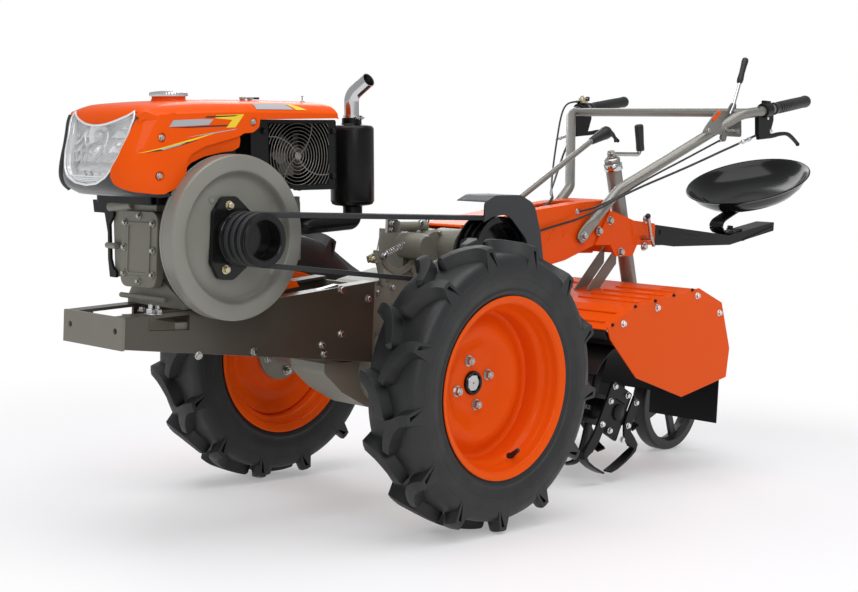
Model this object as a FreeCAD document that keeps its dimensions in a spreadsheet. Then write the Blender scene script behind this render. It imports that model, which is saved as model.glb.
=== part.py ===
import FreeCAD, Part
import math
import os

# Two-wheel walking tractor with a rear rotary tiller.
# Millimetres. +X is the machine's left, -Y is forward, +Z is up.
# Most sub-parts are drawn with Y measured from the drive axle and Z from
# the floor, and are moved back by y_shift so that the origin of the part
# lies on the floor at the middle of its length.  The engine group is drawn
# about the crankshaft and pitched nose-down by engine_pitch.

V = FreeCAD.Vector
ROT = FreeCAD.Rotation
PLC = FreeCAD.Placement
os.makedirs("parts", exist_ok=True)
doc = FreeCAD.newDocument("walking_tractor")

# ---------------------------------------------------------------- sizes
CELLS = [
    ("y_shift", 541.91), ("axle_height", 352.0), ("half_track", 395.0),
    ("tyre_radius", 352.0), ("tyre_width", 166.0), ("rim_flange_radius", 220.0),
    ("rim_width", 150.0), ("bead_radius", 203.0), ("hub_face", 358.0),
    ("wheel_bolt_circle", 114.0), ("wheel_bolt_hole", 7.0),
    ("crank_y", -596.0), ("crank_height", 691.0), ("engine_pitch", 4.0),
    ("flywheel_radius", 184.0), ("flywheel_back", 137.0), ("flywheel_face", 185.0),
    ("engine_pulley_radius", 60.0), ("clutch_pulley_radius", 92.0),
    ("clutch_y", 190.0), ("clutch_height", 661.0),
    ("rail_outer", 109.0), ("rail_wall", 8.0), ("rail_flange", 40.0),
    ("bumper_half_width", 110.5), ("bumper_hole", 7.0), ("bumper_hole_x", 85.0),
    ("hood_half_width", 150.0), ("hood_wall", 4.5),
    ("muffler_radius", 54.0), ("muffler_height", 199.0),
    ("handle_tube_radius", 15.0), ("grip_radius", 19.0),
    ("beam_half_width", 72.0), ("beam_wall", 5.0), ("bracket_wall", 6.0),
    ("jack_outer_radius", 24.0), ("jack_bore_radius", 20.4), ("jack_inner_radius", 20.0),
    ("cover_half_width", 302.0), ("side_plate_wall", 4.0), ("cover_wall", 3.0),
    ("rotor_y", 756.0), ("rotor_height", 202.0), ("rotor_tube_radius", 31.0),
    ("rotor_tip_radius", 180.0),
    ("tail_wheel_radius", 157.0), ("tail_wheel_width", 50.0), ("tail_wheel_y", 1357.0),
    ("seat_radius", 211.0), ("seat_y", 1767.0), ("seat_height", 881.0), ("seat_tilt", 22.8),
]
D = dict(CELLS)
sheet = doc.addObject("Spreadsheet::Sheet", "dims")
for row, (word, value) in enumerate(CELLS, 1):
    sheet.set("A%d" % row, word)
    sheet.set("B%d" % row, "%g" % value)
    sheet.setAlias("B%d" % row, word)
doc.recompute()

PARTS = []          # (node, object)


def rad(deg):
    return deg * math.pi / 180.0


def unit(v):
    w = V(v)
    w.normalize()
    return w


def done(obj, node, frame="axle"):
    """Names a finished sub-part and places it in the machine's frame."""
    obj.Label = node
    if frame == "axle":
        obj.setExpression(".Placement.Base.y", "-dims.y_shift")
    elif frame == "engine":
        obj.Placement = PLC(V(0, D["crank_y"] - D["y_shift"], D["crank_height"]),
                            ROT(V(1, 0, 0), D["engine_pitch"]))
        obj.setExpression(".Placement.Base.y", "dims.crank_y - dims.y_shift")
        obj.setExpression(".Placement.Base.z", "dims.crank_height")
        obj.setExpression(".Placement.Rotation.Angle", "dims.engine_pitch")
    PARTS.append((node, obj))
    return obj


# ------------------------------------------------------ sketch helpers
def plane(body, role):
    for f in body.Origin.OriginFeatures:
        if f.Role == role:
            return f


def rounded(pts):
    """Edges of a closed outline; a third number in a point rounds it."""
    n = len(pts)
    marks = []
    for i, p in enumerate(pts):
        q = V(p[0], p[1], 0)
        r = p[2] if len(p) > 2 else 0
        if r:
            a = unit(V(pts[i - 1][0], pts[i - 1][1], 0) - q)
            b = unit(V(pts[(i + 1) % n][0], pts[(i + 1) % n][1], 0) - q)
            half = math.acos(max(-1, min(1, a.dot(b)))) / 2
            t = r / math.tan(half)
            c = q + unit(a + b) * (r / math.sin(half))
            marks.append((q + a * t, q + b * t, c + unit(q - c) * r))
        else:
            marks.append((q, q, None))
    out = []
    for i in range(n):
        s, e, m = marks[i]
        if m is not None:
            out.append(Part.Arc(s, m, e))
        nxt = marks[(i + 1) % n][0]
        if (nxt - e).Length > 1e-6:
            out.append(Part.LineSegment(e, nxt))
    return out


def sketch(body, role, loops=(), circles=(), offset=0.0):
    sk = body.newObject("Sketcher::SketchObject", "Sketch")
    sk.AttachmentSupport = [(plane(body, role), "")]
    sk.MapMode = "FlatFace"
    sk.AttachmentOffset = PLC(V(0, 0, offset), ROT())
    for pts in loops:
        for g in rounded(pts):
            sk.addGeometry(g)
    for x, y, r in circles:
        sk.addGeometry(Part.Circle(V(x, y, 0), V(0, 0, 1), r))
    return sk


def body():
    return doc.addObject("PartDesign::Body", "Body")


def pad(b, sk, length, sym=False, rev=False, expr=None):
    f = b.newObject("PartDesign::Pad", "Pad")
    f.Profile = sk
    f.Length = length
    if expr:
        f.setExpression("Length", expr)
    if sym:
        f.SideType = "Symmetric"
    f.Reversed = rev
    return f


def pocket(b, sk, length, sym=False, rev=False):
    doc.recompute()
    before = b.Shape.Volume
    f = b.newObject("PartDesign::Pocket", "Pocket")
    f.Profile = sk
    f.Length = length
    if sym:
        f.SideType = "Symmetric"
    f.Reversed = rev
    doc.recompute()
    if b.Shape.Volume > before - 1:
        raise RuntimeError("a pocket in %s removed nothing" % b.Label)
    return f


def revolve(b, sk, axis="H_Axis"):
    f = b.newObject("PartDesign::Revolution", "Revolution")
    f.Profile = sk
    f.ReferenceAxis = (sk, [axis])
    f.Angle = 360
    return f


# --------------------------------------------------- primitive helpers
def box(x0, x1, y0, y1, z0, z1):
    o = doc.addObject("Part::Box", "Box")
    o.Length, o.Width, o.Height = x1 - x0, y1 - y0, z1 - z0
    o.Placement.Base = V(x0, y0, z0)
    return o


def rod(p0, p1, r, r1=None):
    p0, p1 = V(*p0), V(*p1)
    if r1 is None:
        o = doc.addObject("Part::Cylinder", "Rod")
        o.Radius = r
    else:
        o = doc.addObject("Part::Cone", "Taper")
        o.Radius1, o.Radius2 = r, r1
    o.Height = (p1 - p0).Length
    o.Placement = PLC(p0, ROT(V(0, 0, 1), p1 - p0))
    return o


def prism(pts, role, lo, hi):
    """Outline drawn in a plane and pushed from lo to hi across it."""
    edges = [g.toShape() for g in rounded(pts)]
    face = Part.Face(Part.Wire(Part.__sortEdges__(edges)))
    if role == "YZ":      # outline in (Y, Z), pushed along +X
        face.Placement = PLC(V(lo, 0, 0), ROT(V(0, 1, 0), V(0, 0, 1), V(1, 0, 0), "XYZ"))
        push = V(hi - lo, 0, 0)
    elif role == "XZ":    # outline in (X, Z), pushed along +Y
        face.Placement = PLC(V(0, lo, 0), ROT(V(1, 0, 0), V(0, 0, 1), V(0, -1, 0), "XYZ"))
        push = V(0, hi - lo, 0)
    else:                 # outline in (X, Y), pushed along +Z
        face.Placement = PLC(V(0, 0, lo), ROT())
        push = V(0, 0, hi - lo)
    o = doc.addObject("Part::Feature", "Prism")
    o.Shape = face.extrude(push)
    return o


def fuse(parts):
    if len(parts) == 1:
        return parts[0]
    o = doc.addObject("Part::MultiFuse", "Fusion")
    o.Shapes = parts
    o.Refine = True
    return o


def cut(base, tool):
    o = doc.addObject("Part::Cut", "Cut")
    o.Base, o.Tool = base, tool
    o.Refine = True
    return o


def common(a, b):
    o = doc.addObject("Part::Common", "Common")
    o.Base, o.Tool = a, b
    return o


def group(parts):
    o = doc.addObject("Part::Compound", "Compound")
    o.Links = parts
    return o


def path_wire(points, radii):
    """Straight runs joined by tangent arcs."""
    P = [V(*p) for p in points]
    if not isinstance(radii, (list, tuple)):
        radii = [radii] * (len(P) - 2)
    edges = []
    last = P[0]
    for i in range(1, len(P) - 1):
        a, b = unit(P[i - 1] - P[i]), unit(P[i + 1] - P[i])
        half = math.acos(max(-1, min(1, a.dot(b)))) / 2
        r = radii[i - 1]
        if r is None:      # as large as the two runs allow
            r = 0.45 * min((P[i - 1] - P[i]).Length, (P[i + 1] - P[i]).Length) * math.tan(half)
        t = r / math.tan(half)
        s, e = P[i] + a * t, P[i] + b * t
        c = P[i] + unit(a + b) * (r / math.sin(half))
        m = c + unit(P[i] - c) * r
        edges.append(Part.LineSegment(last, s).toShape())
        edges.append(Part.Arc(s, m, e).toShape())
        last = e
    edges.append(Part.LineSegment(last, P[-1]).toShape())
    return Part.Wire(edges)


def tube_shape(points, r, radii=None, bore=0.0):
    w = path_wire(points, radii)
    d = unit(V(*points[1]) - V(*points[0]))
    ring = Part.Wire([Part.Circle(V(*points[0]), d, r).toShape()])
    s = w.makePipeShell([ring], True, False)
    if bore:
        hole = Part.Wire([Part.Circle(V(*points[0]), d, bore).toShape()])
        s = s.cut(w.makePipeShell([hole], True, False))
    return s


def tube(points, r, radii=None, bore=0.0):
    o = doc.addObject("Part::Feature", "Tube")
    o.Shape = tube_shape(points, r, radii, bore)
    return o


def mirror_pts(points):
    return [(-p[0],) + tuple(p[1:]) for p in points]


# =================================================================
# FRAME
# =================================================================
RAIL = [(-839, 447), (-839, 515.6), (-450, 542.8), (-98, 581), (-98, 379)]
RAIL_IN = [(-845, 454), (-845, 508.2), (-450, 535.6), (-106, 573), (-106, 387)]
for side, node in ((1, "frame_rail_left"), (-1, "frame_rail_right")):
    b = body()
    pad(b, sketch(b, "YZ_Plane", [RAIL], offset=side * D["rail_outer"]),
        D["rail_flange"], rev=side > 0, expr="dims.rail_flange")
    pocket(b, sketch(b, "YZ_Plane", [RAIL_IN], offset=side * (D["rail_outer"] - D["rail_wall"])),
           60, rev=side < 0)
    # adjusting window under the top flange, where the engine feet clamp
    pocket(b, sketch(b, "YZ_Plane", [[(-776, 486), (-776, 510), (-667, 517), (-667, 484)]],
                     offset=side * (D["rail_outer"] + 1)), 12, rev=side < 0)
    done(b, node)

b = body()
pad(b, sketch(b, "XZ_Plane", [[(-D["bumper_half_width"], 445), (-D["bumper_half_width"], 516, 3),
                               (D["bumper_half_width"], 516, 3), (D["bumper_half_width"], 445)]],
              [(-D["bumper_hole_x"], 485, D["bumper_hole"]), (D["bumper_hole_x"], 485, D["bumper_hole"])],
              offset=839), 8)
done(b, "front_bumper")

done(group([box(-101, 101, -700, -660, 468, 500), box(-101, 101, -480, -440, 462, 500),
            box(-101, 101, -150, -110, 400, 420)]), "frame_cross_members")

# =================================================================
# ENGINE (drawn about the crankshaft)
# =================================================================
block = fuse([box(-140, 25, -104, 246, -100, 77),
              prism([(-72, -96), (25, -96), (105, -144), (105, -157.5), (-105, -157.5), (-105, -144)],
                    "XZ", -96, 150),
              rod((24, 0, 0), (92, 0, 0), 62),
              rod((-139, 20, 0), (-168, 20, 0), 88)])
done(cut(block, box(-127, 12, -91, 233, -87, 64)), "crankcase", "engine")

b = body()
pad(b, sketch(b, "XZ_Plane", [[(-115, -112, 22), (-115, 52, 22), (17, 52, 22), (17, -112, 22)]],
              offset=104), 11)
pad(b, sketch(b, "XZ_Plane", [[(-90, -88, 8), (-90, 28, 8), (9, 28, 8), (9, -88, 8)]],
              offset=115), 4)
done(b, "crankcase_cover", "engine")

b = body()
pad(b, sketch(b, "XZ_Plane", [[(-211, 74), (-130, 74), (-130, 40), (-146, 20), (-146, -60), (-138, -80),
                               (-126, -88), (-126, -102), (-152, -102), (-157, -60), (-155, 0),
                               (-165, 45), (-207, 45)]],
              offset=104.5), 7)
done(b, "engine_side_bracket", "engine")

head = fuse([box(-112, 22, 246, 322, -85, 70), box(-98, 10, 322, 334, -70, 55)])
done(head, "cylinder_head", "engine")

# hood and nose: one outer form from three silhouettes
SIDE = [(331, 263, 5), (315, 259, 8), (96, 261, 10), (78, 252, 8), (38, 240, 6), (43, 224, 5), (6, 218, 40), (-22, 210, 60),
        (-63, 196, 40), (-91, 180, 20), (-105, 167, 12), (-113, 150, 12), (-138, 130, 40), (-165, 112, 30), (-199, 103, 40),
        (-238, 103, 14), (-258, 111, 12), (-272, 134, 18), (-271, 160, 30), (-261, 202, 40), (-241, 250, 12), (-216, 287, 14),
        (-180, 295), (-60, 300), (306, 295, 8), (328, 282, 6)]
SIDE_IN = [(326, 30), (326, 279, 5), (304, 291.5, 6), (-60, 296.5), (-179, 291.5), (-213.5, 284, 12), (-238, 249, 10),
           (-257.5, 202, 40), (-267.5, 160, 30), (-267.5, 30)]
PLAN = [(-150, 345), (-150, -172, 60), (-131, -232, 30), (-86, -264, 50), (0, -275, 200), (86, -264, 50),
        (131, -232, 30), (150, -172, 60), (150, 345)]
PLAN_IN = [(-146.5, 350), (-146.5, -171, 58), (-128, -229.5, 28), (-84.5, -260.5, 47), (0, -271.5, 197), (84.5, -260.5, 47),
           (128, -229.5, 28), (146.5, -171, 58), (146.5, 350)]
FRONT = [(-150, 60), (-150, 268, 30), (-124, 296, 24), (0, 304, 300), (124, 296, 24), (150, 268, 30), (150, 60)]
FRONT_IN = [(-146.5, 20), (-146.5, 266.5, 27), (-122.5, 292.5, 21), (0, 300.5, 297), (122.5, 292.5, 21), (146.5, 266.5, 27), (146.5, 20)]
NOSE_CUT = [(-300, 60), (-300, 320), (-206, 320), (-206, 280), (-214, 240), (-224, 190), (-226, 156), (-216, 126),
            (-196, 110), (-186, 60)]
MASK = [(-160, 60), (-160, 104), (-150, 106, 10), (-122, 113, 20), (-97, 128, 12), (-93, 156, 20), (-107, 185, 60), (-117, 230, 60),
        (-122, 268), (-112, 281), (-78, 266, 40), (0, 249, 60), (78, 266, 40), (112, 281), (122, 268), (117, 230, 60), (107, 185, 60),
        (93, 156, 20), (97, 128, 12), (122, 113, 20), (150, 106, 10), (160, 104), (160, 60)]
LENS = [(-112, 281), (-117, 266), (-112, 230, 60), (-102, 186, 60), (-88, 157, 20), (-72, 140, 20), (-40, 125.5, 40), (0, 121, 60),
        (40, 125.5, 40), (72, 140, 20), (88, 157, 20), (102, 186, 60), (112, 230, 60), (117, 266), (112, 281),
        (78, 266.5, 40), (0, 249.5, 60), (-78, 266.5, 40)]
form = common(common(prism(SIDE, "YZ", -160, 160), prism(PLAN, "XY", 50, 320)),
              prism(FRONT, "XZ", -300, 400))
nose_zone = common(prism(NOSE_CUT, "YZ", -170, 170), prism(MASK, "XZ", -300, -100))
nose = common(form, nose_zone)
lens_zone = prism(LENS, "XZ", -300, -100)
cavity = common(common(prism(SIDE_IN, "YZ", -160, 160), prism(PLAN_IN, "XY", 20, 330)), prism(FRONT_IN, "XZ", -300, 400))
hood = cut(cut(form, nose_zone), cavity)
done(hood, "hood", "engine")
done(common(nose, lens_zone), "headlight_lens", "engine")
done(cut(nose, lens_zone), "headlight_housing", "engine")

b = body()
pad(b, sketch(b, "XY_Plane", [[(-112, -176, 20), (112, -176, 20), (112, 58, 10), (-112, 58, 10)]], offset=77), 190)
done(cut(b, box(-109.5, 109.5, -173.5, 55.5, 79.5, 264.5)), "fuel_tank", "engine")

b = body()
revolve(b, sketch(b, "YZ_Plane", [[(-0.0, 0), (0.0, 21, 0), (36, 21, 5), (42, 16, 3), (42, 5), (37, 3), (37, 0)]]), "V_Axis")
b.Label = "fuel_cap"
b.Placement = PLC(V(0, 0, 0), ROT())
FUEL = b

radiator = cut(fuse([box(-144, 112, 99, 352, 96, 254), box(-100, 20, 110, 240, 77, 96)]),
               fuse([box(-141, 109, 102, 349, 99, 251), box(-97, 17, 113, 237, 80, 100),
                     prism([(148, 104, 6), (148, 247, 6), (333, 247, 6), (333, 104, 6)], "YZ", 100, 120)]))
# flat-bar cross behind the opening that carries the fan spindle
fan_stand = [box(30, 36, 101.5, 349.5, 169, 181), rod((36, 238, 175), (84, 238, 175), 7), box(27, 33, 229, 247, 98, 170)]
done(fuse([radiator] + fan_stand), "radiator_housing", "engine")

fan = [rod((84.3, 238, 175), (106, 238, 175), 19)]
for k in range(6):
    w = rad(60 * k)
    blade = box(-1.2, 1.2, -17, 17, 15, 64)
    blade.Placement = PLC(V(0, 0, 0), ROT(V(0, 0, 1), 32))
    sh_ = blade.Shape.copy()
    doc.removeObject(blade.Name)
    sh_.rotate(V(0, 0, 0), V(1, 0, 0), 60 * k)
    sh_.translate(V(95, 238, 175))
    bl = doc.addObject("Part::Feature", "Blade")
    bl.Shape = sh_
    fan.append(bl)
done(fuse(fan), "cooling_fan", "engine")

r = D["muffler_radius"]
mz = 43
can = rod((60, 461, mz + 7), (60, 461, mz + D["muffler_height"] - 7), r)
can.setExpression("Radius", "dims.muffler_radius")
muffler = fuse([can, rod((60, 461, mz), (60, 461, mz + 7), r - 7, r),
                rod((60, 461, mz + D["muffler_height"] - 7), (60, 461, mz + D["muffler_height"]), r, r - 7),
                rod((60, 461, 24), (60, 461, mz + 1), 24),
                tube([(22.2, 300, 2), (60, 300, 2), (60, 461, 4), (60, 461, 30)], 21, [24, 23])])
muffler = cut(muffler, rod((60, 461, mz + 9), (60, 461, mz + D["muffler_height"] - 9), r - 2))
done(muffler, "muffler", "engine")
done(tube([(60, 461, 242.2), (60, 461, 312), (96, 489, 352)], 18, [34], bore=15.5), "exhaust_outlet", "engine")


# flywheel and pulleys turn about X
def turned(node, profile, at):
    t = body()
    sk_ = sketch(t, "XZ_Plane", [profile])
    revolve(t, sk_, "H_Axis")
    t.Label = node
    t.Placement.Base = V(*at)
    return t


fr, fb, ff = D["flywheel_radius"], D["flywheel_back"], D["flywheel_face"]
fw = turned("flywheel", [(93, 0), (93, 26), (fb, 26), (fb, 60), (fb + 12, 70), (fb + 12, 140), (fb, 146), (fb, fr, 3),
                         (ff, fr, 4), (ff, 147, 2), (ff - 22, 139, 6), (ff - 22, 62), (ff - 18, 58), (ff - 18, 0)],
            (0, D["crank_y"] - D["y_shift"], D["crank_height"]))


def grooved(x0, x1, n, r, groove_r, width, bore_r, hub_x0, hub_r, centres):
    """Sheave outline from the axis out: rim with round-bottomed belt grooves."""
    pts = [(x0, 0)]
    pts += [(x0, r)]
    for c in centres:
        w = width / 2
        pts += [(c - w - 1.5, r), (c - w + 1.5, groove_r), (c + w - 1.5, groove_r), (c + w + 1.5, r)]
    pts += [(x1, r), (x1, bore_r), (x1 - 34, bore_r - 2), (x1 - 34, 0)]
    return pts


BELTS = (208.0, 230.0, 252.0)
ep = turned("engine_pulley", grooved(ff - 17.8, 270, 3, D["engine_pulley_radius"], 47.5, 16, 44, 0, 0, BELTS),
            (0, D["crank_y"] - D["y_shift"], D["crank_height"]))
cr = D["clutch_pulley_radius"]
cp = turned("clutch_pulley", grooved(194, 264, 3, cr, cr - 12.5, 16, cr - 16, 0, 0, BELTS),
            (0, D["clutch_y"] - D["y_shift"], D["clutch_height"]))
for o_ in (fw, ep):
    o_.setExpression(".Placement.Base.y", "dims.crank_y - dims.y_shift")
    o_.setExpression(".Placement.Base.z", "dims.crank_height")
cp.setExpression(".Placement.Base.y", "dims.clutch_y - dims.y_shift")
cp.setExpression(".Placement.Base.z", "dims.clutch_height")
PARTS += [("flywheel", fw), ("engine_pulley", ep), ("clutch_pulley", cp)]


def belt_loop(c0, r0, c1, r1):
    """Closed outline of a belt round two sheaves (open drive)."""
    (y0, z0), (y1, z1) = c0, c1
    dx, dz = y1 - y0, z1 - z0
    L = math.hypot(dx, dz)
    base = math.atan2(dz, dx)
    lean = math.acos((r0 - r1) / L)
    out = []
    ends = []
    for s in (1, -1):
        a = base + s * lean
        n = (math.cos(a), math.sin(a))
        ends.append(((y0 + r0 * n[0], z0 + r0 * n[1]), (y1 + r1 * n[0], z1 + r1 * n[1])))
    (a0, a1), (b0, b1) = ends
    far0 = (y0 - r0 * dx / L, z0 - r0 * dz / L)
    far1 = (y1 + r1 * dx / L, z1 + r1 * dz / L)
    w = lambda p: V(0, p[0], p[1])
    out.append(Part.LineSegment(w(a0), w(a1)).toShape())
    out.append(Part.Arc(w(a1), w(far1), w(b1)).toShape())
    out.append(Part.LineSegment(w(b1), w(b0)).toShape())
    out.append(Part.Arc(w(b0), w(far0), w(a0)).toShape())
    return Part.Wire(out)


crank_c = (D["crank_y"], D["crank_height"])
clutch_c = (D["clutch_y"], D["clutch_height"])
belts = []
for c in BELTS:
    outer = belt_loop(crank_c, D["engine_pulley_radius"], clutch_c, cr)
    inner = belt_loop(crank_c, D["engine_pulley_radius"] - 11.5, clutch_c, cr - 11.5)
    f_ = Part.Face(outer).cut(Part.Face(inner))
    f_.translate(V(c - 6.5, 0, 0))
    bo = doc.addObject("Part::Feature", "Belt")
    bo.Shape = f_.extrude(V(13, 0, 0))
    belts.append(bo)
done(group(belts), "drive_belts")

# =================================================================
# GEARBOX AND AXLE
# =================================================================
CASE = [(-98, 392), (-98, 560), (-60, 574), (60, 600), (150, 604, 20), (232, 560, 30), (252, 470), (252, 330, 40),
        (150, 262, 50), (40, 250, 60), (-60, 256, 40), (-150, 300, 40), (-214, 352, 20), (-214, 376), (-120, 376)]
CASE_IN = [(-88, 402), (-88, 551), (-59, 564), (60, 589), (148, 593, 16), (223, 553, 24), (242, 468), (242, 332, 34),
           (147, 273, 44), (42, 260, 54), (-58, 266, 34), (-146, 309, 30), (-198, 354, 10), (-198, 366), (-118, 366), (-118, 390)]
AXLE = D["axle_height"]
gearbox = fuse([prism(CASE, "YZ", -62, 62),
                rod((-118, 0, AXLE), (118, 0, AXLE), 96),
                rod((117, 0, AXLE), (300, 0, AXLE), 46, 36),
                rod((-117, 0, AXLE), (-300, 0, AXLE), 46, 36),
                box(-98, 98, -96, -82, 395, 570),
                box(-46, 46, 62, 210, 590, 705),
                rod((60, D["clutch_y"], D["clutch_height"]), (150, D["clutch_y"], D["clutch_height"]), 52),
                rod((40, D["clutch_y"], D["clutch_height"]), (193.5, D["clutch_y"], D["clutch_height"]), 26)])
gearbox = cut(gearbox, fuse([prism(CASE_IN, "YZ", -54, 54), rod((-109, 0, AXLE), (109, 0, AXLE), 87),
                             rod((108, 0, AXLE), (294, 0, AXLE), 37, 28), rod((-108, 0, AXLE), (-294, 0, AXLE), 37, 28),
                             box(-38, 38, 70, 202, 580, 697)]))
done(gearbox, "gearbox_case")

# clutch rod, its forks and the two bell-crank arms on the left
linkage = fuse([rod((62, 14, 716), (62, 128, 718), 11), rod((62, -12, 714), (62, 20, 716), 15),
                box(52, 72, -14, 4, 698, 738), box(46.2, 60, 110, 132, 690, 722)])
arm = fuse([prism([(-66, 622), (-66, 636), (-40, 640), (20, 622), (70, 634), (78, 622), (20, 604), (-30, 622)], "YZ", 70, 78),
            rod((62.2, 66, 626), (78, 66, 626), 9),
            rod((74, -56, 630), (74, -40, 574), 7)])
done(group([linkage, arm]), "clutch_linkage")

# =================================================================
# CLUTCH GUARD
# =================================================================
G_OUT = [(100, 738), (100, 788, 14), (140, 806, 40), (236, 809, 40), (292, 788, 50), (322, 715, 40), (340, 640)]
G_IN = [(96, 600), (96, 783, 10), (140, 801, 36), (236, 804, 36), (289, 784, 46), (317, 713, 36), (336, 634)]
g_solid = prism(G_OUT + [(300, 640, 20), (262, 700, 30), (190, 760, 60), (130, 752, 30)], "YZ", 281, 285)
g_roof = cut(prism([(100, 738)] + G_OUT[1:] + [(320, 640)] + [(100, 640)], "YZ", 186, 281),
             prism([(90, 600), (90, 783, 10), (140, 801, 36), (236, 804, 36), (289, 784, 46), (317, 713, 36),
                    (336, 630)], "YZ", 180, 281.5))
done(fuse([g_solid, g_roof]), "belt_guard")

# =================================================================
# MAIN BEAM, REAR BRACKET, SEAT BEAM
# =================================================================
bw = D["beam_half_width"]
BEAM = [(250, 540), (250, 720, 10), (480, 756), (760, 791), (905, 802, 8), (905, 690), (835, 668), (700, 624)]
BEAM_IN = [(246, 546), (246, 714), (480, 750), (760, 785), (910, 796), (910, 694), (833, 674), (700, 630)]
beam = cut(prism(BEAM, "YZ", -bw, bw), prism(BEAM_IN, "YZ", -bw + D["beam_wall"], bw - D["beam_wall"]))
slot = prism([(-26, 500, 10), (26, 500, 10), (26, 800, 10), (-26, 800, 10)], "XY", 740, 820)
cable_hole = rod((bw - 20, 746, 764), (bw + 20, 746, 764), 9)
beam = cut(beam, fuse([slot, cable_hole]))
done(beam, "main_beam")

BR = [(831, 668), (893, 768, 12), (912, 768, 12), (1016, 742), (1128, 734, 8), (1130, 668, 6), (1040, 668), (1018, 634, 10),
      (934, 634, 10), (905, 668)]
plates = []
for s in (1, -1):
    lo, hi = (bw + 0.2, bw + 6.2) if s > 0 else (-bw - 6.2, -bw - 0.2)
    plates.append(prism(BR, "YZ", lo, hi))
jt = V(0, 0.308, -0.951)       # lift tube axis, pointing down and back
JT0 = V(0, 996, 922)
bridge = box(-bw - 0.3, bw + 0.3, 1010, 1018, 640, 728)
jack_hole = rod(tuple(JT0), tuple(JT0 + jt * 520), D["jack_outer_radius"] + 0.4)
web = box(-bw - 0.3, bw + 0.3, 1018, 1126, 672, 678)
bracket = cut(fuse(plates + [bridge, web]), jack_hole)
done(bracket, "rear_bracket")

# clamp with a T handle that locks the lift tube
done(fuse([rod((78.4, 1062, 690), (118, 1062, 690), 7), rod((112, 1040, 762), (112, 1078, 668), 6)]), "clamp_handle")

SB = [(1132, 672), (1132, 732), (1200, 728), (1620, 697), (1900, 744, 4), (1900, 714, 4), (1625, 665, 20), (1300, 660)]
seat_beam = prism(SB, "YZ", -34, 34)
seat_beam_hollow = prism([(1150, 640), (1150, 722), (1200, 720), (1618, 690), (1890, 736), (1890, 700), (1625, 640)], "YZ", -29, 29)
done(cut(seat_beam, seat_beam_hollow), "seat_beam")

# leaf spring under the seat: a C of flat steel, open to the rear
def strip(points, half_width, thick, radii):
    """Flat steel strip bent in the YZ plane."""
    w = path_wire([(0, p[0], p[1]) for p in points], radii)
    a, b_ = V(0, points[0][0], points[0][1]), V(0, points[1][0], points[1][1])
    d = unit(b_ - a)
    n = V(0, -d.z, d.y)
    q = [a + V(-half_width, 0, 0) - n * (thick / 2), a + V(half_width, 0, 0) - n * (thick / 2),
         a + V(half_width, 0, 0) + n * (thick / 2), a + V(-half_width, 0, 0) + n * (thick / 2)]
    ring = Part.makePolygon(q + [q[0]])
    o = doc.addObject("Part::Feature", "Strip")
    o.Shape = w.makePipeShell([ring], True, False)
    return o


done(strip([(1705, 715.4), (1604, 698.7), (1602, 736.5), (1784.6, 813.2)], 28, 6, [17, 17]), "seat_spring")

# dished seat
st = rad(D["seat_tilt"])
b = body()
R = D["seat_radius"]
revolve(b, sketch(b, "YZ_Plane", [[(0, -66), (90, -64, 60), (150, -50, 80), (196, -10, 20), (R, 0, 2), (R, 3, 1), (196, -3, 16),
                                    (150, -45, 80), (90, -60, 60), (0, -62)]]), "V_Axis")
b.Label = "seat_pan"
b.Placement = PLC(V(0, D["seat_y"] - D["y_shift"], D["seat_height"]), ROT(V(1, 0, 0), D["seat_tilt"]))
PARTS.append(("seat_pan", b))

# =================================================================
# HANDLEBAR
# =================================================================
HB = [(90.5, 766, 696), (90.5, 792, 724), (92, 914, 834), (320, 1190, 1072), (349.5, 1258, 1085.3), (347, 1519, 1133)]
hr = D["handle_tube_radius"]
for s, node in ((1, "handlebar_left"), (-1, "handlebar_right")):
    pts = HB if s > 0 else mirror_pts(HB)
    t = tube(pts, hr, [40, 70, 90, 90])
    ear = box(72.2, 88, 750, 782, 678, 714) if s > 0 else box(-88, -72.2, 750, 782, 678, 714)
    done(fuse([t, ear]), node)
bar = cut(rod((-332, 1213, 1078), (332, 1213, 1078), 13),
          fuse([tube(HB, hr + 0.05, [40, 70, 90, 90]), tube(mirror_pts(HB), hr + 0.05, [40, 70, 90, 90])]))
doc.recompute()
inner = [s_ for s_ in bar.Shape.Solids if abs(s_.CenterOfMass.x) < 50][0]
bo = doc.addObject("Part::Feature", "Crossbar")
bo.Shape = inner
done(bo, "handlebar_crossbar")

gs = []
g0, g1 = V(349.25, 1318, 1096.25), V(346.98, 1521, 1133.37)
for s in (1, -1):
    ring = cut(rod((s * g0.x, g0.y, g0.z), (s * g1.x, g1.y, g1.z), D["grip_radius"]),
               tube(HB if s > 0 else mirror_pts(HB), hr + 0.05, [40, 70, 90, 90]))
    gs.append(ring)
done(group(gs), "grips")


def brake(s):
    clamp_ = cut(box(326, 372, 1262, 1296, 1062, 1112), tube(HB, hr + 0.05, [40, 70, 90, 90]))
    hang = box(338, 352, 1240, 1300, 1004, 1064)
    lever_ = prism([(1246, 996, 4), (1246, 1020), (1330, 1024, 20), (1420, 1030, 30), (1490, 1002, 4), (1484, 990, 4),
                    (1415, 1016, 30), (1330, 1004, 20)], "YZ", 340, 350)
    o = cut(fuse([clamp_, hang, lever_]), tube(HB, hr + 0.05, [40, 70, 90, 90]))
    if s < 0:
        m_ = doc.addObject("Part::Mirroring", "Mirror")
        m_.Source = o
        m_.Normal = V(1, 0, 0)
        return m_
    return o


done(group([brake(1), brake(-1)]), "brake_levers")

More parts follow.
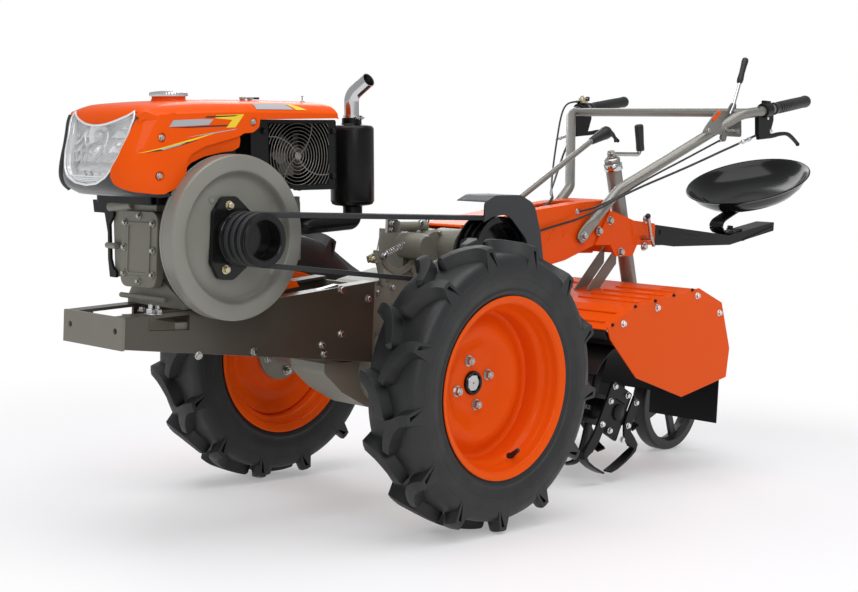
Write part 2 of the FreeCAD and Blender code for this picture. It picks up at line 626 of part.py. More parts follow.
# hand lever on its bracket plate beside the left handle
plate = prism([(1030, 1004), (1118, 1082, 10), (1195, 1110, 8), (1220, 1110, 6), (1222, 1066), (1205, 1006, 8), (1150, 1010)], "YZ", 288, 292)
plate = cut(plate, fuse([tube(HB, hr + 0.05, [40, 70, 90, 90]), rod((250, 1213, 1078), (320, 1213, 1078), 13.05)]))
done(group([plate, fuse([rod((280, 1207, 1100), (280, 1236, 1172), 5.5), rod((280, 1234, 1166), (280, 1262, 1246), 13, 15),
           rod((272, 1207, 1100), (287.9, 1207, 1100), 8)])]), "hand_lever")
done(fuse([box(-362, -334, 1264, 1294, 1112.2, 1120), rod((-348, 1279, 1119), (-348, 1279, 1132), 10),
           box(-352, -344, 1245, 1313, 1126, 1132)]), "throttle_lever")

# gear shift lever rising beside the beam
done(fuse([rod((-86, 470, 682), (-86, 1012, 984), 9), rod((-86, 1000, 977), (-86, 1094, 1016), 12, 29),
           rod((-86, 1094, 1016), (-86, 1118, 1026), 29, 22)]), "shift_lever")

# =================================================================
# TILLER
# =================================================================
ch = D["cover_half_width"]
SP = [(610, 456), (629, 421), (759, 307), (992, 236), (1224, 280), (1234, 368), (1177, 509), (1051, 555), (726, 510)]
sides = []
for s in (1, -1):
    lo, hi = (ch - 4, ch) if s > 0 else (-ch, -ch + 4)
    sides.append(prism(SP, "YZ", lo, hi))
done(group(sides), "tiller_side_plates")
TOP = [(607, 450), (726, 506.5), (1051, 551.8), (1175, 506.6), (1212, 425), (1209, 424), (1172.5, 504), (1050.5, 548.8),
       (727, 503.5), (608.5, 447)]
DR = [(252.5, 350), (252.5, 520), (330, 530, 30), (540, 480, 60), (680, 420, 60), (812, 250, 50), (812, 170, 40),
      (756, 146, 40), (700, 170, 40), (650, 300, 60), (480, 360, 60), (330, 340, 20)]
notch = prism([(-34, 1060), (34, 1060), (34, 1230), (-34, 1230)], "XY", 400, 600)
low_notch = prism([(-48, 1150), (48, 1150), (48, 1230), (-48, 1230)], "XY", 400, 510)
done(cut(prism(TOP, "YZ", -ch + 4.2, ch - 4.2), fuse([notch, low_notch, prism(DR, "YZ", -34.3, 34.3)])), "tiller_cover")

# drive case from the gearbox down to the middle of the rotor
DR_IN = [(262, 352), (262, 511), (328, 520, 26), (536, 471, 54), (672, 411, 54), (690, 380), (654, 312, 54), (480, 369, 60), (330, 350, 16)]
drive = cut(cut(prism(DR, "YZ", -34, 34), rod((-60, D["rotor_y"], D["rotor_height"]), (60, D["rotor_y"], D["rotor_height"]), 32.5)),
            prism(DR_IN, "YZ", -26, 26))
done(drive, "tiller_drive_case")

# cross beam that carries the cover, and the two stays up to the bracket
cross = cut(box(-297.5, 297.5, 640, 672, 405, 437), prism(DR, "YZ", -34.2, 34.2))
done(group([cross, rod((48, 1195, 302), (297.8, 1195, 302), 6), rod((-297.8, 1195, 302), (-48, 1195, 302), 6)]),
     "tiller_cross_bars")

stays = []
for s in (1, -1):
    x0, x1 = (20, 26) if s > 0 else (-26, -20)
    stays.append(prism([(1009.7, 659.5), (924.9, 578.8), (870.5, 527.5), (935.4, 536.7), (1009.7, 606.8)], "YZ", x0, x1))
done(group(stays), "support_stays")

for s, node in ((1, "rear_flap_left"), (-1, "rear_flap_right")):
    x0, x1 = (50, 296) if s > 0 else (-296, -50)
    leaf_ = fuse([prism([(1192, 140), (1192, 296), (1196, 296), (1196, 140)], "YZ", x0, x1),
                  cut(rod((x0, 1195, 302), (x1, 1195, 302), 10), rod((x0 - 5, 1195, 302), (x1 + 5, 1195, 302), 6.3))])
    done(leaf_, node)

# rotor: cross tube, holder plates and bent blades
ry, rz = D["rotor_y"], D["rotor_height"]
hold = []
SETS = (79, 160, 240)
for s in (1, -1):
    hold.append(rod((s * 34.5, 0, 0), (s * 245, 0, 0), D["rotor_tube_radius"]))
hold.append(rod((-35, 0, 0), (35, 0, 0), 32))
for s in (1, -1):
    for i, x in enumerate(SETS):
        hold.append(rod((s * (x - 4), 0, 0), (s * (x + 4), 0, 0), 62))
rotor = fuse(hold)
rotor.Label = "rotor_shaft"
rotor.Placement.Base = V(0, ry - D["y_shift"], rz)
rotor.setExpression(".Placement.Base.y", "dims.rotor_y - dims.y_shift")
rotor.setExpression(".Placement.Base.z", "dims.rotor_height")
PARTS.append(("rotor_shaft", rotor))


def tine(x, ang, side):
    """Blade bolted on a holder: straight shank, then a foot bent sideways."""
    w = 17
    sh = prism([(-w, 18), (-w, 120, 30), (8, 176, 10), (26, 178, 4), (w + 6, 140, 20), (w, 18)], "YZ", x + 4.2 if side > 0 else x - 11.2,
               x + 11.2 if side > 0 else x - 4.2)
    ft = box(x + 4.2, x + 38, 2, 28, 166, 176) if side > 0 else box(x - 38, x - 4.2, 2, 28, 166, 176)
    s_ = sh.Shape.fuse(ft.Shape).removeSplitter()
    doc.removeObject(sh.Name)
    doc.removeObject(ft.Name)
    s_.rotate(V(0, 0, 0), V(1, 0, 0), ang)
    o = doc.addObject("Part::Feature", "Tine")
    o.Shape = s_
    return o


ring_ = rod((-300, 0, 0), (300, 0, 0), D["rotor_tube_radius"] + 0.05)
tines = []
for s in (1, -1):
    for i, x in enumerate(SETS):
        for k in range(4):
            side = 1 if k % 2 == 0 else -1
            if i == 2:
                side = -1 if s > 0 else 1
                if k % 2:
                    continue
            tines.append(tine(s * x, 45 + 90 * k + 30 * i, side))
doc.recompute()
tgroup = []
for o_ in tines:
    o_.Shape = o_.Shape.cut(ring_.Shape)
    tgroup.append(o_)
doc.removeObject(ring_.Name)
tn = group(tgroup)
tn.Label = "rotor_tines"
tn.Placement.Base = V(0, ry - D["y_shift"], rz)
tn.setExpression(".Placement.Base.y", "dims.rotor_y - dims.y_shift")
tn.setExpression(".Placement.Base.z", "dims.rotor_height")
PARTS.append(("rotor_tines", tn))

# =================================================================
# TAIL WHEEL AND ITS SCREW LIFT
# =================================================================
jo = cut(rod(tuple(JT0), tuple(JT0 + jt * 400), D["jack_outer_radius"]),
         rod(tuple(JT0 + jt * 14), tuple(JT0 + jt * 401), D["jack_bore_radius"]))
done(jo, "lift_outer_tube")
crank_ = fuse([rod(tuple(JT0 - jt * 0.2), tuple(JT0 - jt * 26), 12), tube([tuple(JT0 - jt * 18), (0, 1138, 944), (0, 1128, 990)], 6.5, [14]),
               rod((0, 1140, 962), (0, 1123, 1036), 15)])
done(crank_, "lift_crank")
ji0 = JT0 + jt * 190
ji1 = JT0 + jt * 700
inner_tube = rod(tuple(ji0), tuple(ji1), D["jack_inner_radius"])
tw = (0, D["tail_wheel_y"], D["tail_wheel_radius"])
fork = [inner_tube, rod((-43, tw[1], tw[2]), (43, tw[1], tw[2]), 10)]
fork.append(prism([(1188, 244), (1210, 244), (1224, 262), (1224, 288), (1188, 288)], "YZ", -39, 39))
for s in (1, -1):
    x0, x1 = (32.5, 39) if s > 0 else (-39, -32.5)
    fork.append(prism([(1188, 288), (1224, 288), (tw[1] + 16, tw[2] + 16, 8), (tw[1] + 16, tw[2] - 16, 14),
                       (tw[1] - 16, tw[2] - 16, 14), (1188, 244)], "YZ", x0, x1))
fk_ = fuse(fork)
done(fk_, "tail_wheel_fork")

b = body()
twr, tww = D["tail_wheel_radius"], D["tail_wheel_width"] / 2
revolve(b, sketch(b, "XZ_Plane", [[(-tww, twr - 30), (-tww, twr - 4, 3), (-tww + 8, twr, 4), (tww - 8, twr, 4), (tww, twr - 4, 3),
                                    (tww, twr - 30, 3), (6, twr - 34), (6, 30), (27.5, 28), (27.5, 10.3), (-27.5, 10.3), (-27.5, 28), (-6, 30),
                                    (-6, twr - 34)]]), "H_Axis")
windows = []
for k in range(4):
    a0 = 21 + 90 * k
    loop = []
    for r_, off, da in ((36, 12, 0), (121, 13, 0), (121, None, 26), (121, None, 45), (121, None, 64), (121, 13, 90), (36, 12, 90)):
        lean = math.degrees(math.asin(off / r_)) * (1 if da == 0 else -1) if off else 0
        w = rad(a0 + da + lean)
        loop.append((r_ * math.cos(w), r_ * math.sin(w)) + ((8,) if off and r_ > 100 else ()))
    windows.append(loop)
pocket(b, sketch(b, "YZ_Plane", windows), 40, sym=True)
b.Label = "tail_wheel"
b.Placement.Base = V(0, D["tail_wheel_y"] - D["y_shift"], twr)
b.setExpression(".Placement.Base.y", "dims.tail_wheel_y - dims.y_shift")
b.setExpression(".Placement.Base.z", "dims.tail_wheel_radius")
PARTS.append(("tail_wheel", b))

# =================================================================
# DRIVE WHEELS
# =================================================================
tr, tww_ = D["tyre_radius"], D["tyre_width"] / 2
fl, hw, bd = D["rim_flange_radius"], D["rim_width"] / 2, D["bead_radius"]
for s, side in ((1, "left"), (-1, "right")):
    at = (s * D["half_track"], -D["y_shift"], D["axle_height"])
    b = body()
    revolve(b, sketch(b, "XZ_Plane", [[(-hw + 4, bd + 0.3), (-hw + 3, fl + 2), (-tww_, 262, 20), (-tww_ + 3, 318, 14), (-tww_ + 6, tr - 12, 8),
                                        (-50, tr, 20), (50, tr, 20), (tww_ - 6, tr - 12, 8), (tww_ - 3, 318, 14), (tww_, 262, 20),
                                        (hw - 3, fl + 2), (hw - 4, bd + 0.3), (hw - 20, bd + 0.3), (hw - 13, 236, 10),
                                        (tww_ - 11, 262, 18), (tww_ - 14, 310, 14), (44, tr - 24, 20), (-44, tr - 24, 20),
                                        (-tww_ + 14, 310, 14), (-tww_ + 11, 262, 18), (-hw + 13, 236, 10), (-hw + 20, bd + 0.3)]]), "H_Axis")
    b.Label = "tyre_" + side
    b.Placement.Base = V(*at)
    b.setExpression(".Placement.Base.y", "-dims.y_shift")
    b.setExpression(".Placement.Base.z", "dims.axle_height")
    PARTS.append(("tyre_" + side, b))
    # rim: drop-centre ring with a dished disc, the dish open on the outer side
    prof = [(-hw, fl), (-hw + 2.5, fl), (-hw + 4, bd), (-hw + 20, bd), (-hw + 26, 186), (hw - 46, 186), (hw - 40, bd), (hw - 4, bd),
            (hw - 2.5, fl), (hw, fl), (hw, bd - 3), (hw - 36, bd - 4), (hw - 44, 180), (-hw + 26, 180), (-hw + 18, bd - 4), (-hw, bd - 4)]
    b = body()
    revolve(b, sketch(b, "XZ_Plane", [[(s * x_, r_) for x_, r_ in prof]]), "H_Axis")
    dx = D["hub_face"] - D["half_track"]
    dish = [(s * (dx - 4), 30), (s * dx, 30), (s * dx, 84), (s * (dx + 24), 120), (s * (dx + 20), 150), (s * (dx - 2), 179.5), (s * (dx - 2), 183),
            (s * (dx - 10), 183), (s * (dx - 10), 179.5), (s * (dx + 14), 148), (s * (dx + 18), 122), (s * (dx - 6), 88), (s * (dx - 6), 30)]
    revolve(b, sketch(b, "XZ_Plane", [dish]), "H_Axis")
    pocket(b, sketch(b, "YZ_Plane", (), [(D["wheel_bolt_circle"] / 2 * math.cos(rad(17 + 90 * k)),
                                          D["wheel_bolt_circle"] / 2 * math.sin(rad(17 + 90 * k)), D["wheel_bolt_hole"]) for k in range(4)],
                     offset=s * dx), 40, sym=True)
    b.Label = "rim_" + side
    b.Placement.Base = V(*at)
    b.setExpression(".Placement.Base.y", "-dims.y_shift")
    b.setExpression(".Placement.Base.z", "dims.axle_height")
    PARTS.append(("rim_" + side, b))
    h = fuse([rod((s * 302, 0, 0), (s * 351.8, 0, 0), 34), rod((s * 340, 0, 0), (s * 351.8, 0, 0), 78),
              rod((s * 340, 0, 0), (s * 366, 0, 0), 29.8), rod((s * 360, 0, 0), (s * 373, 0, 0), 20)])
    h.Label = "hub_" + side
    h.Placement.Base = V(0, -D["y_shift"], D["axle_height"])
    h.setExpression(".Placement.Base.y", "-dims.y_shift")
    h.setExpression(".Placement.Base.z", "dims.axle_height")
    PARTS.append(("hub_" + side, h))

# parts of the engine that are turned about an upright axis of their own
for o_, node, at in ((FUEL, "fuel_cap", (0, -44, 304.2)),):
    a = rad(D["engine_pitch"])
    x_, y_, z_ = at
    o_.Placement = PLC(V(x_, D["crank_y"] - D["y_shift"] + y_ * math.cos(a) - z_ * math.sin(a),
                         D["crank_height"] + y_ * math.sin(a) + z_ * math.cos(a)), ROT(V(1, 0, 0), D["engine_pitch"]))
    PARTS.append((node, o_))

# =================================================================
# CONTROL CABLES
# =================================================================
CABLES = {
    "left_brake": [(345, 1237.5, 1012), (326, 1186, 987), (300, 1130, 960), (262, 1070, 925), (222, 1000, 888), (176, 920, 848),
                   (134, 846, 806), (106, 780, 766), (92, 720, 742), (86, 650, 727), (86, 562, 709), (86, 507, 697), (86, 430, 684),
                   (86, 340, 672), (86, 242.3, 664)],
    "hand_lever": [(289, 1146, 996), (262, 1098, 966), (225, 1042, 928), (186, 984, 890), (150, 930, 852), (118, 880, 812),
                   (98, 806, 781), (86, 768, 770), (72, 748, 765), (58, 738, 763)],
    "right_brake": [(-345, 1237.5, 1012), (-318, 1165, 955), (-268, 1080, 905), (-195, 965, 850), (-125, 860, 812), (-62, 796, 803),
                    (-24, 748, 798), (-12, 690, 770), (-10, 610, 748)],
    "throttle": [(-348, 1263.8, 1116), (-348, 1224, 1113), (-340, 1180, 1098), (-320, 1136, 1058), (-269, 1060, 985), (-208, 972, 903),
                 (-122, 860, 826), (-58, 786, 815), (-14, 735, 803), (10, 680, 772), (12, 600, 750)],
}
cab = [tube(CABLES["left_brake"], 3.5), tube(CABLES["hand_lever"], 3.0), tube(CABLES["right_brake"], 3.5), tube(CABLES["throttle"], 3.0)]
for c_, name_ in zip(cab, CABLES):
    print("cable", name_, round(c_.Shape.Volume / (math.pi * (3.5 if "brake" in name_ else 3.0) ** 2), 1), "mm")
done(group(cab), "control_cables")

# =================================================================
doc.recompute()
bad = []
for o_ in doc.Objects:
    st_ = list(getattr(o_, "State", []))
    if "Invalid" in st_ or "Error" in st_:
        bad.append((o_.Name, o_.Label, st_))
lo_, hi_ = [1e9] * 3, [-1e9] * 3
for node, o_ in PARTS:
    s_ = o_.Shape
    if s_.isNull() or not s_.isValid():
        bad.append((node, "shape"))
    if not s_.Solids:
        bad.append((node, "no solid"))
    q_ = s_.optimalBoundingBox(False, False)
    lo_ = [min(a_, b_) for a_, b_ in zip(lo_, (q_.XMin, q_.YMin, q_.ZMin))]
    hi_ = [max(a_, b_) for a_, b_ in zip(hi_, (q_.XMax, q_.YMax, q_.ZMax))]
if bad:
    raise RuntimeError("failed: %s" % bad)
names = [n for n, _ in PARTS]
if len(set(names)) != len(names) or len(names) > 60:
    raise RuntimeError("names")
for node, o_ in PARTS:
    o_.Shape.exportStep("parts/%s.step" % node)
print(len(PARTS), "parts, extent", [round(a_, 2) for a_ in lo_], [round(a_, 2) for a_ in hi_], "solids", sum(len(o_.Shape.Solids) for _, o_ in PARTS))
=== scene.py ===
# Looks for a two-wheel walking tractor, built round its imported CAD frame.
# Lengths in the builders below are millimetres in the frame named by the
# builder's matrix; Blender's own objects are metres in the row frame.
import bpy, bmesh, math, random
from mathutils import Vector, Matrix, noise


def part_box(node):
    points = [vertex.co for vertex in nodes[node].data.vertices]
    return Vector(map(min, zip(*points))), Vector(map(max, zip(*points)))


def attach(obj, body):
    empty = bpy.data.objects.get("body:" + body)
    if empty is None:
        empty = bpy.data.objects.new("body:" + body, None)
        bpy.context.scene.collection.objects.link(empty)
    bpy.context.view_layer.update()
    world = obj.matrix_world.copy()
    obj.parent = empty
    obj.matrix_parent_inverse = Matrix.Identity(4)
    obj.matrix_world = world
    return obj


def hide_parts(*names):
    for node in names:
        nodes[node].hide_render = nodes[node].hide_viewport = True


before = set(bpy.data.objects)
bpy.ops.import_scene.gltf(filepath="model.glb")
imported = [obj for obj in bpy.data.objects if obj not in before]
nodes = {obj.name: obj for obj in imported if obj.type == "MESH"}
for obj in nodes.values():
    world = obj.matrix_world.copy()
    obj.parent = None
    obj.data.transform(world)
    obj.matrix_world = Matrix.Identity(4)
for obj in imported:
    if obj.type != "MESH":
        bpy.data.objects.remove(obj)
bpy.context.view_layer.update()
scene = bpy.context.scene
random.seed(7)

_lo, _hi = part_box("tyre_left")
YS = -(_lo.y + _hi.y) / 2                       # how far the drive axle lies ahead of the origin
MM = Matrix.Scale(0.001, 4)
MA = Matrix.Translation((0, -YS, 0)) @ MM        # Y from the drive axle, Z from the floor
ME = Matrix.Translation((0, -0.596 - YS, 0.691)) @ Matrix.Rotation(math.radians(4.0), 4, "X") @ MM
MF = Matrix.Translation((0, -0.596 - YS, 0.691)) @ MM          # crankshaft, not pitched


def V(*a):
    return Vector(a)


def rad(a):
    return a * math.pi / 180.0


# ------------------------------------------------------------- outlines
def rounded(pts, steps=5, closed=True):
    """2-D outline; a third number on a point rounds that corner."""
    out = []
    n = len(pts)
    for i, p in enumerate(pts):
        r = p[2] if len(p) > 2 else 0
        if not r or (not closed and i in (0, n - 1)):
            out.append((p[0], p[1]))
            continue
        q = Vector((p[0], p[1]))
        a = Vector(pts[i - 1][:2]) - q
        b = Vector(pts[(i + 1) % n][:2]) - q
        la, lb = a.length, b.length
        a.normalize(); b.normalize()
        half = math.acos(max(-1, min(1, a.dot(b)))) / 2
        if half > 1.55 or half < 0.02:
            out.append((p[0], p[1]))
            continue
        t = min(r / math.tan(half), la * 0.49, lb * 0.49)
        rr = t * math.tan(half)
        c = q + (a + b).normalized() * (rr / math.sin(half))
        s, e = q + a * t - c, q + b * t - c
        a0, a1 = math.atan2(s.y, s.x), math.atan2(e.y, e.x)
        d = (a1 - a0 + math.pi) % (2 * math.pi) - math.pi
        for k in range(steps + 1):
            w = a0 + d * k / steps
            out.append((c.x + rr * math.cos(w), c.y + rr * math.sin(w)))
    return out


def round_path(points, radius, steps=6):
    """3-D polyline with its corners turned on arcs."""
    P = [Vector(p) for p in points]
    out = [P[0]]
    for i in range(1, len(P) - 1):
        r = radius[i - 1] if isinstance(radius, (list, tuple)) else radius
        a, b = P[i - 1] - P[i], P[i + 1] - P[i]
        la, lb = a.length, b.length
        a.normalize(); b.normalize()
        ang = math.acos(max(-1, min(1, a.dot(b))))
        half = ang / 2
        if r <= 0 or half > 1.56:
            out.append(P[i])
            continue
        t = min(r / math.tan(half), la * 0.49, lb * 0.49)
        rr = t * math.tan(half)
        bis = (a + b).normalized()
        c = P[i] + bis * (rr / math.sin(half))
        s = P[i] + a * t - c
        e = P[i] + b * t - c
        k = max(2, int(steps * (math.pi - ang) / (math.pi / 2) + 1))
        for j in range(k + 1):
            out.append(c + s.normalized().slerp(e.normalized(), j / k) * rr)
    out.append(P[-1])
    return out


def spline(points, per=8):
    """Catmull-Rom points through the given ones."""
    P = [Vector(p) for p in points]
    P = [P[0] * 2 - P[1]] + P + [P[-1] * 2 - P[-2]]
    out = []
    for i in range(1, len(P) - 2):
        a, b, c, d = P[i - 1:i + 3]
        for k in range(per):
            t = k / per
            out.append(0.5 * ((2 * b) + (c - a) * t + (2 * a - 5 * b + 4 * c - d) * t * t
                              + (3 * b - a - 3 * c + d) * t * t * t))
    out.append(P[-2])
    return out


# -------------------------------------------------------------- builder
class Build:
    def __init__(self, T=MA, mats=()):
        self.T = T
        self.v, self.f, self.mi = [], [], []
        self.mats = list(mats)
        self.m = 0

    def use(self, mat):
        if mat not in self.mats:
            self.mats.append(mat)
        self.m = self.mats.index(mat)
        return self

    def add(self, verts, faces):
        k = len(self.v)
        self.v += [self.T @ Vector(p) for p in verts]
        self.f += [tuple(k + i for i in f) for f in faces]
        self.mi += [self.m] * len(faces)
        return self

    def box(self, x0, x1, y0, y1, z0, z1):
        v = [(x, y, z) for x in (x0, x1) for y in (y0, y1) for z in (z0, z1)]
        return self.add(v, [(0, 1, 3, 2), (4, 6, 7, 5), (0, 4, 5, 1), (2, 3, 7, 6), (0, 2, 6, 4), (1, 5, 7, 3)])

    def obox(self, c, ax, ay, az, hx, hy, hz):
        """Box about c along three directions, by half sizes."""
        c = Vector(c); ax = Vector(ax).normalized(); ay = Vector(ay).normalized(); az = Vector(az).normalized()
        v = [c + ax * i * hx + ay * j * hy + az * k * hz for i in (-1, 1) for j in (-1, 1) for k in (-1, 1)]
        return self.add(v, [(0, 1, 3, 2), (4, 6, 7, 5), (0, 4, 5, 1), (2, 3, 7, 6), (0, 2, 6, 4), (1, 5, 7, 3)])

    def basis(self, d):
        d = Vector(d).normalized()
        u = Vector((0, 0, 1)) if abs(d.z) < 0.9 else Vector((0, 1, 0))
        u = (u - d * u.dot(d)).normalized()
        return d, u, d.cross(u)

    def lathe(self, prof, c=(0, 0, 0), d=(1, 0, 0), n=48, closed=True, wave=None, a0=0.0, a1=360.0):
        """Profile of (along, radius) turned about d through c."""
        d, u, w = self.basis(d)
        c = Vector(c)
        full = abs(a1 - a0 - 360) < 1e-6
        rows = n if full else n + 1
        verts, faces = [], []
        m = len(prof)
        for i in range(rows):
            a = rad(a0 + (a1 - a0) * i / n)
            for j, (x, r) in enumerate(prof):
                if wave:
                    x, r = wave(x, r, a, j)
                verts.append(c + d * x + (u * math.cos(a) + w * math.sin(a)) * r)
        for i in range(n):
            p, q = i * m, ((i + 1) % rows) * m
            for j in range(m if closed else m - 1):
                k = (j + 1) % m
                r0, r1 = prof[j][1], prof[k][1]
                if r0 < 1e-6 and r1 < 1e-6:
                    continue
                if r0 < 1e-6:
                    faces.append((p + j, q + k, p + k))
                elif r1 < 1e-6:
                    faces.append((p + j, q + j, p + k))
                else:
                    faces.append((p + j, q + j, q + k, p + k))
        if not full and closed:
            faces.append(tuple(range(m)))
            faces.append(tuple(reversed([n * m + j for j in range(m)])))
        return self.add(verts, faces)

    def rod(self, p0, p1, r, r1=None, n=24, ch=0.0):
        p0, p1 = Vector(p0), Vector(p1)
        L = (p1 - p0).length
        r1 = r if r1 is None else r1
        prof = [(0, 0)]
        if ch:
            prof += [(0, r - ch), (ch, r), (L - ch, r1), (L, r1 - ch)]
        else:
            prof += [(0, r), (L, r1)]
        prof += [(L, 0)]
        return self.lathe(prof, p0, p1 - p0, n, closed=False)

    def ball(self, c, r, n=16, sz=1.0, d=(0, 0, 1)):
        prof = [(-r * sz * math.cos(math.pi * k / (n // 2)), r * math.sin(math.pi * k / (n // 2))) for k in range(n // 2 + 1)]
        prof[0] = (prof[0][0], 0); prof[-1] = (prof[-1][0], 0)
        return self.lathe(prof, c, d, n, closed=False)

    def ring(self, c, d, r, t, n=40, m=8):
        prof = [(t * math.sin(2 * math.pi * k / m), r + t * math.cos(2 * math.pi * k / m)) for k in range(m)]
        return self.lathe(prof, c, d, n)

    def prism(self, pts, plane, lo, hi):
        """Outline pushed across its plane. YZ -> X, XZ -> Y, XY -> Z."""
        pts = rounded(pts) if any(len(p) > 2 for p in pts) else [tuple(p) for p in pts]
        area = sum(a[0] * b[1] - b[0] * a[1] for a, b in zip(pts, pts[1:] + pts[:1]))
        if area < 0:
            pts = pts[::-1]
        if plane == "XZ":
            pts = pts[::-1]
        n = len(pts)
        mk = {"YZ": lambda p, t: (t, p[0], p[1]), "XZ": lambda p, t: (p[0], t, p[1]), "XY": lambda p, t: (p[0], p[1], t)}[plane]
        v = [mk(p, lo) for p in pts] + [mk(p, hi) for p in pts]
        f = [tuple(reversed(range(n))), tuple(range(n, 2 * n))]
        f += [(i, (i + 1) % n, n + (i + 1) % n, n + i) for i in range(n)]
        return self.add(v, f)

    def sweep(self, path, section, up=None, caps=True, closed=False, twist=None):
        """Section of (side, up) points carried along a path with little roll."""
        P = [Vector(p) for p in path]
        n = len(P)
        m = len(section(0.0)) if callable(section) else len(section)
        T = []
        for i in range(n):
            a = P[i] - P[i - 1] if (i or closed) else P[1] - P[0]
            b = P[(i + 1) % n] - P[i] if (i < n - 1 or closed) else P[-1] - P[-2]
            T.append((a.normalized() + b.normalized()).normalized())
        t0 = T[0]
        ref = Vector(up) if up is not None else (Vector((0, 0, 1)) if abs(t0.z) < 0.9 else Vector((1, 0, 0)))
        nrm = (ref - t0 * ref.dot(t0)).normalized()
        verts = []
        for i in range(n):
            t = T[i]
            if up is not None:
                ref = Vector(up)
                nn = ref - t * ref.dot(t)
                if nn.length > 1e-4:
                    nrm = nn.normalized()
            else:
                nrm = (nrm - t * nrm.dot(t)).normalized()
            side = nrm.cross(t)
            sec = section(i / (n - 1)) if callable(section) else section
            m = len(sec)
            for s, h in sec:
                verts.append(P[i] + side * s + nrm * h)
        faces = []
        for i in range(n if closed else n - 1):
            p, q = i * m, ((i + 1) % n) * m
            for j in range(m):
                k = (j + 1) % m
                faces.append((p + j, p + k, q + k, q + j))
        if caps and not closed:
            faces.append(tuple(reversed(range(m))))
            faces.append(tuple((n - 1) * m + j for j in range(m)))
        return self.add(verts, faces)

    def tube(self, path, r, n=12, bore=0.0, caps=True, closed=False):
        if callable(r):
            sec = lambda t: [(r(t) * math.sin(2 * math.pi * k / n), r(t) * math.cos(2 * math.pi * k / n)) for k in range(n)]
        else:
            sec = [(r * math.sin(2 * math.pi * k / n), r * math.cos(2 * math.pi * k / n)) for k in range(n)]
        return self.sweep(path, sec, caps=caps, closed=closed)

    def bolt(self, p, d, s=13.0, h=6.0, washer=1.45, turn=0.0, stud=0.0, flange=False):
        """Hexagon head on a washer at p, facing d. s is across flats."""
        d, u, w = self.basis(d)
        p = Vector(p)
        R = s / math.sqrt(3)
        base = 0.0
        if washer:
            wr, wt = s / 2 * washer, max(1.0, s * 0.11)
            self.lathe([(-0.5, 0), (-0.5, wr), (wt * 0.7, wr), (wt, wr - 0.4), (wt, 0)], p, d, 20, closed=False)
            base = wt
        if flange:
            self.lathe([(base, 0), (base, s * 0.72), (base + 1.4, s * 0.66), (base + 2.2, s * 0.5)], p, d, 20, closed=False)
        v, f = [], []
        lev = [(base - 0.3, 1.0), (base + h - s * 0.09, 1.0), (base + h, 0.86)]
        for z, k in lev:
            for i in range(6):
                a = rad(turn + 60 * i)
                v.append(p + d * z + (u * math.cos(a) + w * math.sin(a)) * R * k)
        for L in range(2):
            for i in range(6):
                j = (i + 1) % 6
                f.append((L * 6 + i, L * 6 + j, (L + 1) * 6 + j, (L + 1) * 6 + i))
        f.append(tuple(12 + i for i in range(6)))
        self.add(v, f)
        if stud:
            self.rod(p + d * (base + h - 0.5), p + d * (base + h + stud), s * 0.3, n=12, ch=0.8)
        return self

    def strip(self, path, w, t, up, r=0.0):
        """Flat bar swept along a path: w across, t thick along up."""
        return self.sweep(path, [(-w / 2, -t / 2), (w / 2, -t / 2), (w / 2, t / 2), (-w / 2, t / 2)], up=up)

    def make(self, name, body, bevel=0.0, seg=2, sharp=32, slot=None, replaces=(), sub=0, weld=False, limit=32):
        me = bpy.data.meshes.new(name)
        me.from_pydata([tuple(p) for p in self.v], [], self.f)
        for mt in self.mats:
            me.materials.append(mt)
        me.polygons.foreach_set("material_index", self.mi)
        me.polygons.foreach_set("use_smooth", [True] * len(me.polygons))
        bm = bmesh.new()
        bm.from_mesh(me)
        if weld:
            bmesh.ops.remove_doubles(bm, verts=bm.verts, dist=2e-6)
        bmesh.ops.recalc_face_normals(bm, faces=bm.faces)
        bm.to_mesh(me)
        bm.free()
        me.set_sharp_from_angle(angle=rad(sharp))
        o = bpy.data.objects.new(name, me)
        scene.collection.objects.link(o)
        if bevel:
            b = o.modifiers.new("Bevel", "BEVEL")
            b.width = bevel / 1000
            b.segments = seg
            b.limit_method = "ANGLE"
            b.angle_limit = rad(limit)
            b.harden_normals = True
        if sub:
            s = o.modifiers.new("Subdivision", "SUBSURF")
            s.levels = s.render_levels = sub
        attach(o, body)
        if replaces:
            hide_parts(*([replaces] if isinstance(replaces, str) else replaces))
        return o

# ============================================================ materials
def new_mat(name):
    m = bpy.data.materials.new(name)
    m.use_nodes = True
    nt = m.node_tree
    nt.nodes.clear()
    out = nt.nodes.new("ShaderNodeOutputMaterial")
    b = nt.nodes.new("ShaderNodeBsdfPrincipled")
    nt.links.new(b.outputs[0], out.inputs[0])
    tc = nt.nodes.new("ShaderNodeTexCoord")
    return m, nt, b, tc.outputs["Object"]


def tex(nt, co, scale, detail=3.0, rough=0.5, kind="noise"):
    n = nt.nodes.new("ShaderNodeTexNoise")
    n.inputs["Scale"].default_value = scale
    n.inputs["Detail"].default_value = detail
    n.inputs["Roughness"].default_value = rough
    nt.links.new(co, n.inputs["Vector"])
    return n.outputs["Fac"]


def ramp(nt, fac, stops):
    r = nt.nodes.new("ShaderNodeValToRGB")
    e = r.color_ramp.elements
    while len(e) < len(stops):
        e.new(0.5)
    for k, (p, c) in enumerate(stops):
        e[k].position = p
        e[k].color = (c, c, c, 1) if isinstance(c, (int, float)) else (*c, 1)
    nt.links.new(fac, r.inputs[0])
    return r.outputs[0]


def bump(nt, b, h, strength, dist):
    n = nt.nodes.new("ShaderNodeBump")
    n.inputs["Strength"].default_value = strength
    n.inputs["Distance"].default_value = dist
    nt.links.new(h, n.inputs["Height"])
    nt.links.new(n.outputs[0], b.inputs["Normal"])
    return n


def scaled(c, k):
    return tuple(min(1.0, x * k) for x in c)


